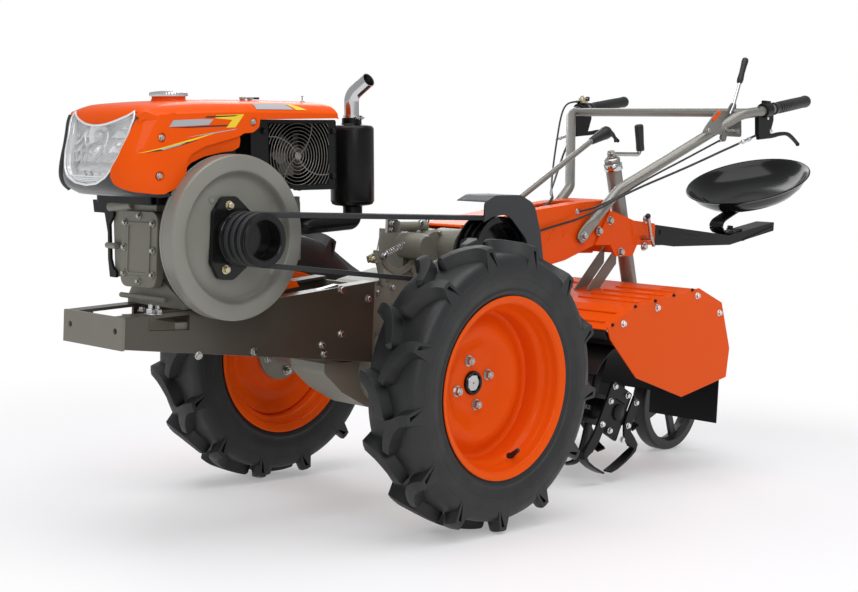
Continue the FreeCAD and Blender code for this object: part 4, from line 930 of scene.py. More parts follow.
def clear(name, tint=(0.95, 0.96, 0.97)):
    m, nt, b, co = new_mat(name)
    f = tex(nt, co, 180, 2)
    nt.links.new(ramp(nt, f, [(0.3, scaled(tint, 0.985)), (0.8, tint)]), b.inputs["Base Color"])
    r = ramp(nt, tex(nt, co, 40, 3), [(0.3, 0.02), (0.8, 0.06)])
    nt.links.new(r, b.inputs["Roughness"])
    b.inputs["Alpha"].default_value = 0.20
    b.inputs["IOR"].default_value = 1.5
    b.inputs["Coat Weight"].default_value = 1.0
    b.inputs["Coat Roughness"].default_value = 0.02
    return m


GLASS = clear("lamp_glass")
# plated reflector given a near-white base: partly its silver, partly painted reflection of the bright studio in place
# of a mirror's
REFLECTOR_PAINTED_SHINE = paint("lamp_reflector_painted_shine", (0.95, 0.95, 0.955), rough=0.22, coat=0.3, metal=0.35, var=0.02, peel=0.0)
# near-white paint for the line round the glass and the lamp's side walls: painted highlight and reflection of the
# bright studio
LAMP_PAINTED_SHINE = paint("lamp_rim_painted_shine", (0.80, 0.81, 0.82), rough=0.2, coat=0.5, metal=0.35, var=0.03, peel=0.0)
LAMP_GREY = paint("lamp_grey", (0.42, 0.43, 0.44), rough=0.25, coat=0.2, metal=0.4, var=0.06, peel=0.0)

v_, f_ = panel(LAMP, dx=8, dy=8, step=6)
b = Build(ME, [GLASS])
b.add([nose_point(x, z, 0.6 - 1.6 * math.cos(x / 112 * 1.5) * math.cos((z - 195) / 80 * 1.4)) for x, z in v_], f_)
shell(b, "headlight_glass", "chassis", 2.0, 0.0, slot="clear_lens", replaces="headlight_lens", flip=(0, -1, 0), sharp=80)

hole = [(x * 0.985, (z - 190) * 0.985 + 190) for x, z in reversed(LAMP)]
v_, f_ = panel(TRIM, [split_edges(hole, 6)], dx=8, dy=8, step=6)
b = Build(ME, [CHIN])
b.add([nose_point(x, z, -0.8) for x, z in v_], f_)
shell(b, "headlight_surround", "chassis", 5.0, 1.3, slot="dark_trim", replaces="headlight_housing", flip=(0, -1, 0), sharp=80)
# chin: carries on round the corners and turns under the engine
b = Build(ME, [CHIN])
rows_ = []
for i in range(41):
    x = -149 + 298 * i / 40
    top = 106 if abs(x) > 132 else 112
    p = [nose_point(x, 112, 0.4), nose_point(x, 107, 0.2), nose_point(x, 102.6, 1.0)]
    q = Vector((x * 0.985, p[2].y + 9, 97.6))
    r_ = Vector((x * 0.96, min(-178, p[2].y + 40), 95.2))
    s_ = Vector((x * 0.95, -168, 95.2))
    rows_.append(p + [q, r_, s_])
n_ = len(rows_[0])
b.add([p for r in rows_ for p in r], [(j * n_ + i, j * n_ + i + 1, (j + 1) * n_ + i + 1, (j + 1) * n_ + i) for j in range(40) for i in range(n_ - 1)])
shell(b, "headlight_chin", "chassis", 3.0, 0.8, slot="dark_trim", flip=(0, -0.4, -1), sharp=70)
# light grey line round the glass: its near-white colour is a painted highlight of the glossy trim's inner edge
b = Build(ME, [LAMP_PAINTED_SHINE])
path = [nose_point(x * 0.984, (z - 190) * 0.984 + 190, -1.9) for x, z in split_edges(LAMP, 7)]
b.tube(path, 2.6, 10, closed=True)
b.make("headlight_rim", "chassis", sharp=60, slot="dark_trim")

# reflector: stepped plated facets behind the glass, in near-white paint that is partly painted reflection of the studio
b = Build(ME, [REFLECTOR_PAINTED_SHINE, LAMP_GREY, LAMP_PAINTED_SHINE])


def cell(x0, x1, z0, z1, d0, d1, tx=0.0, tz=0.0, n=3, m=3, bow=3.0):
    verts, faces = [], []
    for i in range(n + 1):
        for j in range(m + 1):
            u, w = i / n, j / m
            x = x0 + (x1 - x0) * u
            z = z0 + (z1 - z0) * w
            d = d0 + (d1 - d0) * w + tx * (u - 0.5) + bow * (1 - (2 * u - 1) ** 2) + tz * (1 - (2 * w - 1) ** 2)
            verts.append(nose_point(x, z, d))
    for i in range(n):
        for j in range(m):
            a = i * (m + 1) + j
            faces.append((a, a + 1, a + m + 2, a + m + 1))
    b.add(verts, faces)


def half_at(z):
    xs = [abs(x) for (x, zz) in split_edges(LAMP, 4) if abs(zz - z) < 4.5]
    return (max(xs) if xs else 60) - 3


random.seed(11)
levels = [(127, 139), (139, 150), (150, 170), (170, 190), (190, 206), (206, 222), (222, 240), (240, 256)]
for k, (z0, z1) in enumerate(levels):
    h = min(half_at(z0 + 1), half_at(z1 - 1))
    nc = (3, 5, 1, 6, 7, 9, 9, 5)[k]
    for i in range(nc):
        x0, x1 = -h + 2 * h * i / nc, -h + 2 * h * (i + 1) / nc
        mid = (x0 + x1) / 2
        base = 26 - 12 * (abs(mid) / 110) ** 2
        if k >= 5 and abs(mid) < 38:
            continue
        cell(x0, x1, z0, z1, base + (6 if k < 2 else 2), base + (2 if k < 2 else 12), tx=random.uniform(-7, 7), bow=random.choice((-4, 4, 6)), tz=random.uniform(-1, 3))
# lamp bowl with its rings and bulb shield
c0 = nose_point(0, 231, 0)
for r0, r1, d0, d1 in ((34, 27, 13, 20), (27, 20, 18, 27), (20, 12, 25, 33)):
    b.lathe([(-d0, r0), (-d0 - 1.5, r0 - 1), (-d1, r1)], c0, (0, -1, 0.15), 40, closed=False, a0=-128, a1=128)
b.use(LAMP_GREY).ball(c0 + Vector((0, 16, -4)), 12.5, 20, d=(0, -1, 0.1))
# only the lower part of the ring, so that it stays inside the lamp
b.use(REFLECTOR_PAINTED_SHINE).tube([c0 + Vector((0, 9, -2)) + (Vector((1, 0, 0)) * math.sin(math.radians(a)) - Vector((0, 0.148, 0.989)) * math.cos(math.radians(a))) * 42.5
                       for a in range(-96, 97, 8)], 1.6, 8)
# slanted dividing fins in the middle
for sx in (-1, 1):
    b.use(LAMP_GREY)
    for q in range(3):
        x = sx * (14 + 20 * q)
        p0, p1 = nose_point(x, 171, 10), nose_point(x + sx * 17, 203 - 6 * q, 14)
        b.strip([p0, (p0 + p1) / 2 + Vector((0, 2, 0)), p1], 9.0, 2.0, (0, -1, 0))
b.use(LAMP_GREY)
b.prism([(-98, 178), (98, 178), (108, 262), (-108, 262)], "XZ", -212, -210)
b.use(REFLECTOR_PAINTED_SHINE)
for z in (127.5, 131.5, 135.5, 140):
    h = half_at(z + 1) - 4
    b.tube([nose_point(-h + 2 * h * i / 14, z, 5.0) for i in range(15)], 1.4, 6)
b.make("headlight_reflector", "chassis", sharp=14, slot="clear_lens")
# side closing walls between trim and reflector, in the same near-white paint: painted reflection
b = Build(ME, [LAMP_PAINTED_SHINE])
ln_ = split_edges([(x * 0.98, (z - 190) * 0.98 + 190) for x, z in LAMP], 7)
vv = []
for x, z in ln_:
    vv += [nose_point(x, z, 1.0), nose_point(x * 0.99, z, 30)]
m_ = len(ln_)
b.add(vv, [(2 * i, 2 * i + 1, (2 * i + 3) % (2 * m_), (2 * i + 2) % (2 * m_)) for i in range(m_)])
shell(b, "headlight_wall", "chassis", 1.2, 0, slot="dark_trim", sharp=50)



# ------------------------------------------------------- hood stripes
YELLOW = paint("stripe_yellow", (0.80, 0.56, 0.010), rough=0.35, coat=0.4, var=0.03, peel=0)
STRIPE_BLACK = paint("stripe_black", (0.012, 0.012, 0.014), rough=0.35, coat=0.4, var=0.1, peel=0)
STRIPE_SILVER = paint("stripe_silver", (0.36, 0.37, 0.39), rough=0.55, metal=0.0, coat=0.0, var=0.0, peel=0)


def decal(name, mat, poly, S, out):
    v_, f_ = panel(poly, dx=7, dy=3, step=4)
    b = Build(ME, [mat])
    b.add([cheek(S, -y, z, out) for y, z in v_], f_)
    b.make(name, "chassis", sharp=80, slot="orange_paint")


for S in (1, -1):
    t_ = "left" if S > 0 else "right"
    decal("stripe_wedge_" + t_, YELLOW, [(-30, 268.5), (48, 270), (22, 241.5), (-4, 241), (14, 258), (-34, 262)], S, 0.35)
    decal("stripe_wedge_edge_" + t_, STRIPE_BLACK, [(-62, 263.0), (20, 265.6), (32, 268.4), (-56, 266.5)], S, 0.5)
    decal("stripe_bar_" + t_, STRIPE_SILVER, [(-150, 254), (-146, 259), (-70, 261), (-38, 260), (-52, 248), (-100, 246.5), (-158, 245)], S, 0.4)
    decal("stripe_bar_low_" + t_, STRIPE_BLACK, [(-158, 243.4), (-100, 244.9), (-50, 246.6), (4, 247.5), (-2, 244), (-60, 243.2), (-110, 242)], S, 0.42)
    decal("stripe_fine_" + t_, STRIPE_SILVER, [(-118, 221.5), (-40, 231.5), (28, 238.5), (20, 236.0), (-60, 227)], S, 0.4)
    decal("stripe_dart_" + t_, YELLOW, [(-240, 190.5), (-190, 196), (-120, 209), (-30, 231), (-60, 226), (-110, 216), (-160, 205.5), (-200, 198)], S, 0.35)
    decal("stripe_dart_black_" + t_, STRIPE_BLACK, [(-222, 192.2), (-178, 195.4), (-130, 204.5), (-80, 216), (-110, 212.6), (-160, 202.4), (-195, 196.8)], S, 0.5)
    decal("stripe_dart_grey_" + t_, STRIPE_SILVER, [(-186, 198), (-176, 196.4), (-132, 205.2), (-112, 211.6), (-140, 206.6)], S, 0.6)


def band(name, mat, pts, S, up):
    """Strip on the chamfer at the hood's rear, points of (length along the path, side fraction)."""
    (L0, a0), (L1, a1), (L2, a2), (L3, a3) = pts
    b = Build(ME, [mat])
    vs, fs = [], []
    n, m = 16, 4
    for i in range(n + 1):
        for j in range(m + 1):
            u, w = i / n, j / m
            L = (L0 + (L1 - L0) * u) * (1 - w) + (L3 + (L2 - L3) * u) * w
            a = (a0 + (a1 - a0) * u) * (1 - w) + (a3 + (a2 - a3) * u) * w
            p = roof_point(S * a, L)
            vs.append(p + Vector((S * up * 0.6, 0, up * 0.8)))
    for i in range(n):
        for j in range(m):
            k = i * (m + 1) + j
            fs.append((k, k + 1, k + m + 2, k + m + 1))
    b.add(vs, fs).make(name, "chassis", sharp=80, slot="orange_paint")


for S in (1, -1):
    t_ = "left" if S > 0 else "right"
    L_ = lambda y: _len[0] + 62 + (y + 180) + 1.0
    band("band_silver_" + t_, STRIPE_SILVER, [(L_(112), 0.83), (L_(205), 0.83), (L_(216), 0.97), (L_(106), 0.97)], S, 1.1)
    band("band_yellow_" + t_, YELLOW, [(L_(209), 0.83), (L_(222), 0.83), (L_(258), 0.975), (L_(224), 0.975)], S, 1.1)

# --------------------------------------------------------- filler cap
b = Build(ME, [ORANGE, CHROME, BLACK_PL])
b.use(ORANGE).lathe([(292, 44), (298, 42), (302.5, 38.5), (306, 37.5), (311, 37.5), (311, 30), (292, 30)], (0, -45, 0), (0, 0, 1), 64)
b.make("filler_neck", "chassis", sharp=35, slot="orange_paint")
b = Build(ME, [SILVER, BLACK_PL])
knurl = lambda x, r, a, j: (x, r + (0.35 * math.cos(a * 48) if j in (1, 2) else 0))
b.use(SILVER).lathe([(310, 30), (310, 42.2), (316.4, 42.8), (318.6, 41.8), (319.8, 38), (320.6, 33), (320.2, 31), (321.2, 28), (322.0, 14), (322.2, 0)], (0, -45, 0), (0, 0, 1), 192,
                    closed=False, wave=knurl)
b.make("fuel_cap_visual", "chassis", sharp=28, slot="chrome", replaces="fuel_cap")
# latch bits and lifting pin on the hood's top
b = Build(ME, [ZINC, BLACK_PL])
for y, l, r in ((118, 16, 3.2), (140, 20, 2.6)):
    b.use(ZINC).rod((60, y - l / 2, 305.5), (60, y + l / 2, 305.5), r, n=12, ch=0.6)
    b.use(ZINC).box(55, 65, y - 4, y + 4, 300.5, 305)
b.use(BLACK_PL).rod((60, 152, 305.0), (60, 166, 305.0), 2.6, n=12)
b.use(ZINC).rod((60, 300, 295), (60, 300, 309), 1.6, n=10).lathe([(309, 0), (309, 3.4), (310.4, 3.4), (311.4, 2.4), (311.6, 0)], (60, 300, 0), (0, 0, 1), 14, closed=False)
b.lathe([(296.5, 0), (296.5, 5.5), (298.6, 5.0), (299.2, 0)], (60, 300, 0), (0, 0, 1), 16, closed=False)
b.make("hood_latch", "chassis", bevel=0.4, sharp=35, slot="steel")

# dark edge of the lamp's surround, standing out past the far cheek
b = Build(ME, [CHIN])
path = spline([nose_point(-123, z, 0) + Vector((-4.5 * min(1, (z - 96) / 40), -1.0, 0)) for z in (108, 120, 136, 156, 180, 206, 232, 254, 268)], 5)
b.tube(path, 6.2, 14)
b.make("headlight_far_edge", "chassis", sharp=60, slot="dark_trim")

# ==================================================== engine's left side
def even(path, step=8.0):
    P = [Vector(p) for p in path]
    out, acc = [P[0]], 0.0
    for a, b in zip(P, P[1:]):
        L = (b - a).length
        while acc + L >= step and L > 1e-9:
            t = (step - acc) / L
            a = a + (b - a) * t
            out.append(a.copy())
            L = (b - a).length
            acc = 0.0
        acc += L
    if (out[-1] - P[-1]).length < step * 0.4:
        out.pop()
    out.append(P[-1])
    return out


b = Build(MF, [FLY])
b.lathe([(93, 0), (93, 25), (94, 26), (137, 26.2), (138, 60), (147, 100), (147, 134), (143, 142), (137.4, 146), (137.4, 178), (138.4, 182), (141, 183.4), (146, 183.8), (147, 182.6), (149.5, 182.6), (150.5, 183.8),
         (177, 184), (181, 183.2), (184.2, 180.8), (185, 177.4), (185, 150.5), (184.3, 147.8), (182.2, 145.8), (178, 143.4), (172, 140.4), (167, 136.5), (164, 131), (162.6, 122), (162.2, 105),
         (163, 84), (165.4, 68), (167, 62), (167, 0)], (0, 0, 0), (1, 0, 0), 144, closed=False)
for a_, r_ in ((128, 104), (20, 112)):
    y, z = r_ * math.cos(rad(a_)), r_ * math.sin(rad(a_))
    b.lathe([(160, 0), (160, 8), (164.6, 7.2), (165.2, 5.6), (164.2, 4.4), (164.0, 0)], (0, y, z), (1, 0, 0), 20, closed=False)
b.make("flywheel_visual", "flywheel_group", sharp=36, slot="olive_paint", replaces="flywheel")
# three-lobed hub plate of the belt pulley and its cap screws
b = Build(MF, [BLACK, ZINC_Y, BLACK_SAT])
b.prism([(-68, 56, 16), (-44, 90, 16), (-8, 92, 22), (84, 20, 18), (84, -22, 18), (-8, -93, 22), (-46, -92, 16), (-70, -56, 16)], "YZ", 166.6, 178.5)
for a_ in (111, 246, 358):
    b.use(ZINC_Y).bolt((178.3, 76 * math.cos(rad(a_)), 76 * math.sin(rad(a_))), (1, 0, 0), 14, 8, washer=1.5, turn=a_ + 10)
b.use(BLACK).lathe([(178, 40), (178, 61), (181, 62), (192, 62), (193, 60), (195, 58), (195, 40)], (0, 0, 0), (1, 0, 0), 72)
b.use(BLACK).lathe([(264, 52), (270.0, 57), (271.2, 57.6), (272, 56.6), (272, 47), (271, 45.5), (262, 44)], (0, 0, 0), (1, 0, 0), 72)
b.make("pulley_hub_plate", "flywheel_group", bevel=0.8, sharp=34, slot="black_paint")

# crankcase front cover: rolled edge, raised centre, eight bolts
b = Build(MA, [OLIVE_CAST, ZINC])
CX0, CX1, CZ0, CZ1 = -93, 42, 566, 741
b.prism([(CX0, CZ0, 22), (CX1, CZ0 + 3, 22), (CX1, CZ1, 22), (CX0, CZ1 - 3, 22)], "XZ", -713, -691.5)
b.make("crankcase_cover_visual", "chassis", bevel=3.0, seg=3, slot="olive_paint", replaces="crankcase_cover")
b = Build(MA, [OLIVE_CAST, ZINC])
o_, i_ = rounded([(-68, 594, 10), (20, 596, 10), (20, 716, 10), (-68, 713, 10)], 5), rounded([(-62, 600, 6), (14, 602, 6), (14, 710, 6), (-62, 707, 6)], 5)
vs = [(x, -713.2, z) for x, z in o_] + [(x, -716.0, z) for x, z in [(a[0] * 0.985 - 0.4, (a[1] - 655) * 0.985 + 655) for a in o_]] + [(x, -716.0, z) for x, z in i_] + [(x, -713.6, z) for x, z in
     [(a[0] * 0.985 - 0.4, (a[1] - 655) * 0.985 + 655) for a in i_]]
n = len(o_)
b.add(vs, [(j * n + k, j * n + (k + 1) % n, (j + 1) * n + (k + 1) % n, (j + 1) * n + k) for j in range(3) for k in range(n)] + [tuple(range(3 * n, 4 * n))])
for x, z in ((-24, 727.7), (-76.9, 711), (27, 713), (-78, 655), (30, 653), (-76, 597), (31, 599), (-20, 581.5)):
    b.use(OLIVE_CAST).lathe([(-1, 0), (-1, 9.5), (2.2, 8.6), (2.8, 7.6), (2.8, 0)], (x, -713, z), (0, -1, 0), 20, closed=False)
    b.use(ZINC).bolt((x, -715.6, z), (0, -1, 0), 9, 5, washer=1.4, turn=x)
b.make("crankcase_cover_trim", "chassis", sharp=30, slot="olive_paint")
# ribs, bosses and the foot bolt of the crankcase
b = Build(MA, [OLIVE_CAST, ZINC, STEEL, BLACK_SAT])
b.use(OLIVE_CAST)
b.rod((-150, -706, 742), (-60, -708, 752), 11, n=20, ch=2)
b.rod((-165, -700, 654), (-110, -712, 655), 7, n=16, ch=1.5)
for z in (545, 765):
    b.rod((-100, -704, z), (70, -704, z + 2), 6, n=14, ch=1)
for y, z, r in ((-640, 760, 13), (-560, 768, 10), (-470, 742, 14), (-430, 640, 16), (-388, 600, 12)):
    b.lathe([(-3, 0), (-3, r + 2), (6, r), (8, r - 2), (8, 0)], (104.5, y, z), (1, 0, 0), 24, closed=False)
    b.use(ZINC).bolt((111.5, y, z), (1, 0, 0), 11, 6, washer=1.4, turn=y)
    b.use(OLIVE_CAST)
b.prism([(-640, 528, 4), (-480, 528, 4), (-500, 556, 8), (-620, 556, 8)], "YZ", 96, 116)
b.use(ZINC).bolt((100, -748, 521), (0, 0, 1), 17, 9, washer=1.6, stud=8).bolt((60, -760, 524), (0, 0, 1), 13, 7, washer=1.5)
b.make("crankcase_details", "chassis", bevel=1.4, sharp=34, slot="olive_paint")

# ------------------------------------------------- fan guard and panel
b = Build(ME, [HANDLE])
cy, cz, X_ = 235.5, 171.6, 113.6
y0, y1, z0, z1 = 147, 334, 103, 248


def clipped(points):
    """Runs of the points that lie inside the opening."""
    runs, run = [], []
    for p in points:
        if y0 <= p.y <= y1 and z0 <= p.z <= z1:
            run.append(p)
        elif run:
            runs.append(run); run = []
    if run:
        runs.append(run)
    return [r for r in runs if len(r) > 2]


for k in range(15):
    r = 9 + 8.3 * k
    n = max(24, int(r * 1.1))
    pts = [Vector((X_ + 1.2, cy + r * math.cos(2 * math.pi * i / n + 0.01), cz + r * math.sin(2 * math.pi * i / n + 0.01))) for i in range(n + 1)]
    for run in clipped(pts):
        b.tube(run, 0.95, 6, closed=False)
for k in range(4):
    pts = []
    for i in range(50):
        r = 3 + 2.9 * i
        a = rad(28 + 90 * k) + (i / 50) * 0.9
        pts.append(Vector((X_ - 0.6, cy + r * math.cos(a), cz + r * math.sin(a))))
    for run in clipped(pts)[:1]:
        b.tube(run, 1.4, 6)
b.lathe([(-1, 0), (-1, 8), (1.8, 8), (2.6, 6.5), (2.8, 0)], (X_, cy, cz), (1, 0, 0), 24, closed=False)
b.make("fan_guard", "chassis", sharp=60, slot="steel")
b = Build(ME, [BLACK_SAT, BLACK])
fr = rounded([(96, 257, 4), (358, 254, 4), (356, 89, 4), (226, 92), (96, 170)], 4)
v_, f_ = panel(fr, [split_edges(rounded([(148, 247, 6), (333, 247, 6), (333, 104, 6), (148, 104, 6)], 4), 8)], dx=16, dy=16, step=8)
b.add([(113.0, y, z) for y, z in v_], f_)
o_ = shell(b, "radiator_panel", "chassis", 2.2, 0.7, slot="black_paint", flip=(1, 0, 0), sharp=50)
b = Build(ME, [BLACK_SAT, ZINC])
b.use(BLACK_SAT).tube([(113.2, 148, 104), (113.2, 148, 247), (113.2, 333, 247), (113.2, 333, 104)], 1.8, 8, closed=True)
for y, z in ((133.1, 231.2), (346.5, 227.7), (344.8, 121)):
    b.use(BLACK_SAT).bolt((113, y, z), (1, 0, 0), 12, 6.5, washer=1.5, turn=y)
b.tube([(112, 352, 90), (113, 356.5, 92), (113, 357, 250)], 1.4, 6)
b.make("radiator_bolts", "chassis", sharp=34, slot="black_paint")

# ------------------------------------------------------------- exhaust
b = Build(ME, [MUFFLER])
m0 = 43
b.lathe([(24, 0), (24, 24), (m0 - 3, 24), (m0 - 1, 27), (m0 + 1, 44), (m0 + 3.5, 50), (m0 + 9, 53), (m0 + 13, 54), (m0 + 186, 54), (m0 + 190, 53), (m0 + 194.5, 50), (m0 + 197, 44.5),
         (m0 + 198.6, 27), (m0 + 201, 24.5), (m0 + 214, 24), (m0 + 215, 22), (m0 + 215, 0)], (60, 461, 0), (0, 0, 1), 72, closed=False)
b.ring((60, 461, m0 + 187), (0, 0, 1), 53.6, 0.9, 72, 6)
b.ring((60, 461, m0 + 12), (0, 0, 1), 53.6, 0.9, 72, 6)
b.tube(round_path([(22.2, 300, 2), (60, 300, 2), (60, 461, 4), (60, 461, 30)], [30, 40], 8), 21, 28)
b.lathe([(0, 0), (0, 30), (7, 30), (7, 0)], (22.5, 300, 2), (1, 0, 0), 32, closed=False)
b.make("muffler_visual", "chassis", bevel=0.8, sharp=34, slot="black_paint", replaces="muffler", limit=40)
b = Build(ME, [CHROME, ZINC])
b.use(CHROME).lathe([(250, 17), (250, 20.6), (264, 20.6), (264, 17)], (60, 461, 0), (0, 0, 1), 40)
b.use(ZINC).box(78, 92, 456, 459, 252, 263).box(78, 92, 463, 466, 252, 263)
b.bolt((86, 456, 257.5), (0, -1, 0), 8, 5, washer=1.3).bolt((86, 466, 257.5), (0, 1, 0), 8, 5, washer=1.3, stud=6)
b.rod((96, 461, 257), (60, 461, 257), 2, n=10)
b.make("exhaust_clamp", "chassis", bevel=0.5, sharp=34, slot="chrome")

# ----------------------------------------------------- frame and bumper
b = Build(MA, [ZINC, OLIVE, OLIVE_SHADED, STEEL])
for y, z in ((-268.4, 430.2), (-260.7, 408.0), (-207.2, 454.1), (-120.9, 538.0), (-640, 425), (-480, 425)):
    b.use(ZINC).bolt((109, y, z), (1, 0, 0), 13, 7, washer=1.5, turn=y).bolt((-109, y, z), (-1, 0, 0), 13, 7, washer=1.5, turn=y)
b.use(STEEL).bolt((100, -767, 521), (0, 0, 1), 17, 10, washer=1.7, stud=10, turn=10)
b.make("frame_bolts", "chassis", bevel=0.4, sharp=34, slot="steel")
# tensioner levers lying on the rail's rear end
b = Build(MA, [ZINC, OLIVE, STEEL, ORANGE])
b.use(OLIVE).obox((82, -300, 545), (0, 1, 0.17), (1, 0, 0), (0, -0.17, 1), 95, 13, 3)
b.use(STEEL).obox((86, -285, 556), (0, 1, 0.20), (1, 0, 0), (0, -0.2, 1), 78, 8, 3)
b.use(OLIVE).rod((66, -212, 560), (108, -212, 562), 8, n=20, ch=1)
b.use(ZINC).bolt((108, -212, 562), (1, 0, 0), 15, 7, washer=1.4)
b.use(ORANGE).prism([(-395, 556), (-330, 584), (-300, 580), (-290, 566), (-395, 552)], "YZ", 40, 44)
b.use(STEEL).obox((92, -320, 548), (0, 1, 0.02), (1, 0, 0), (0, 0, 1), 40, 5, 5)
b.make("tensioner_levers", "chassis", bevel=1.0, sharp=34, slot="olive_paint")

# ------------------------------------------- clutch linkage and gearcase
b = Build(MA, [OLIVE_CAST, ZINC, STEEL, ZINC_Y, BLACK_SAT])
b.use(OLIVE_CAST).lathe([(0, 0), (0, 15), (4, 15), (6, 11.5), (96, 11.5), (98, 14), (106, 14), (106, 0)], (64, 14, 716), (0, 1, 0.02), 28, closed=False)
b.use(ZINC).obox((64, -4, 716), (1, 0, 0), (0, 1, 0), (0, 0, 1), 4, 18, 17)
b.bolt((68, -6, 722), (1, 0, 0), 12, 6, washer=1.4).bolt((68, -8, 706), (1, 0, 0), 10, 5, washer=1.4)
b.use(STEEL).bolt((70, 92, 724), (1, 0, 0), 13, 8, washer=1.4).rod((64, 120, 700), (64, 128, 736), 6, n=16, ch=1)
b.use(OLIVE_CAST).lathe([(0, 0), (0, 60), (8, 62), (40, 60), (46, 54), (48, 0)], (46, 136, 650), (1, 0, 0), 48, closed=False)
b.lathe([(0, 0), (0, 34), (70, 32), (84, 26), (85, 0)], (48, 60, 668), (1, 0, 0), 36, closed=False)
for k in range(6):
    a = rad(60 * k + 20)
    b.use(ZINC).bolt((90, 136 + 53 * math.cos(a), 650 + 53 * math.sin(a)), (1, 0, 0), 10, 6, washer=1.4, turn=20 * k)
b.use(STEEL).tube([(70, -48, 700), (70, -50, 690), (72, -60, 652)], 1.6, 8)
b.use(OLIVE_CAST).rod((72, -60, 655), (72, -64, 622), 9, 10, n=20, ch=1.5)
# curved arm with its springs
b.use(OLIVE_CAST).sweep(spline([(74, -92, 632), (74, -66, 640), (74, -38, 628), (74, -14, 610), (74, 20, 600), (74, 52, 612), (74, 78, 636)], 6), rounded([(-4, -9, 3), (4, -9, 3), (4, 9, 3), (-4, 9, 3)], 2), up=(0, 0, 1))
b.use(ZINC_Y).bolt((78, -82, 634), (1, 0, 0), 13, 7, washer=1.6, stud=4)
b.use(OLIVE_CAST).rod((74, -56, 630), (74, -34, 566), 8, 7, n=18, ch=1).rod((74, 66, 620), (74, 92, 560), 7, 6, n=18, ch=1)
hel = []
for i in range(150):
    t = i / 149
    a = 2 * math.pi * 9 * t
    c = Vector((76, -30, 646)).lerp(Vector((76, 36, 672)), t)
    hel.append(c + Vector((math.cos(a) * 6.5, -0.37 * math.sin(a) * 6.5, 0.93 * math.sin(a) * 6.5)))
b.use(STEEL).tube(hel, 1.5, 6)
b.rod((76, -44, 640), (76, -26, 648), 4, n=14, ch=0.6).rod((76, 32, 670), (76, 52, 678), 4, n=14, ch=0.6).bolt((80, -44, 640), (1, 0, 0), 12, 7, washer=1.4)
# inspection cover on the case's corner
b.use(OLIVE_CAST).prism([(-86, 470, 12), (-60, 560, 12), (6, 576, 12), (30, 520, 12), (0, 440, 14), (-70, 430, 12)], "YZ", 62, 70)
for y, z in ((-70, 470), (-50, 548), (2, 560), (16, 510), (-8, 452), (-62, 444)):
    b.use(ZINC).bolt((70, y, z), (1, 0, 0), 12, 6, washer=1.4, turn=y)
b.make("clutch_linkage_visual", "chassis", bevel=0.8, sharp=34, slot="olive_paint", replaces="clutch_linkage")

# exhaust elbow: dark inside, cut on a slant
b = Build(ME, [CHROME, BLACK_SAT])
ep = round_path([(60, 461, 243), (60, 461, 262), (60, 461, 312), (96, 489, 352)], [2, 34], 14)
ep = [Vector(q) for q in ep]
n_, m_ = 36, len(ep)
cut_n = Vector((0.84, 0.10, 0.53)).normalized()
for rr, mt in ((18.0, CHROME), (16.0, BLACK_SAT)):
    vs, fs = [], []
    for i, p in enumerate(ep):
        p = Vector(p)
        t = (Vector(ep[min(i + 1, m_ - 1)]) - Vector(ep[max(i - 1, 0)])).normalized()
        u = t.cross(Vector((0.83, -0.55, 0))).normalized()
        v = t.cross(u)
        for k in range(n_):
            a = 2 * math.pi * k / n_
            q = p + u * rr * math.cos(a) + v * rr * math.sin(a)
            if i == m_ - 1:
                d_ = (p - q).dot(cut_n) / t.dot(cut_n)
                q = q + t * (max(-15.0, min(15.0, d_)) - 4)
            vs.append(q)
    keep = [i for i in range(m_) if i == m_ - 1 or (Vector(ep[-1]) - Vector(ep[i])).length > 19]
    vs = [vs[i * n_ + k] for i in keep for k in range(n_)]
    fs = [(i * n_ + k, i * n_ + (k + 1) % n_, (i + 1) * n_ + (k + 1) % n_, (i + 1) * n_ + k) for i in range(len(keep) - 1) for k in range(n_)]
    b.use(mt).add(vs, fs)
    if mt is CHROME:
        tip = vs[-n_:]
tip2 = vs[-n_:]
b.use(CHROME).add(tip + tip2, [(k, (k + 1) % n_, n_ + (k + 1) % n_, n_ + k) for k in range(n_)])
b.make("exhaust_elbow", "chassis", sharp=50, slot="chrome", replaces="exhaust_outlet")

# ======================================================= handlebars etc.
RND = lambda hx, hz, r=2.0: rounded([(-hx, -hz, r), (hx, -hz, r), (hx, hz, r), (-hx, hz, r)], 3)
def w_at(tab, t):
    return tab[min(len(tab) - 1, int(round(t * (len(tab) - 1))))]


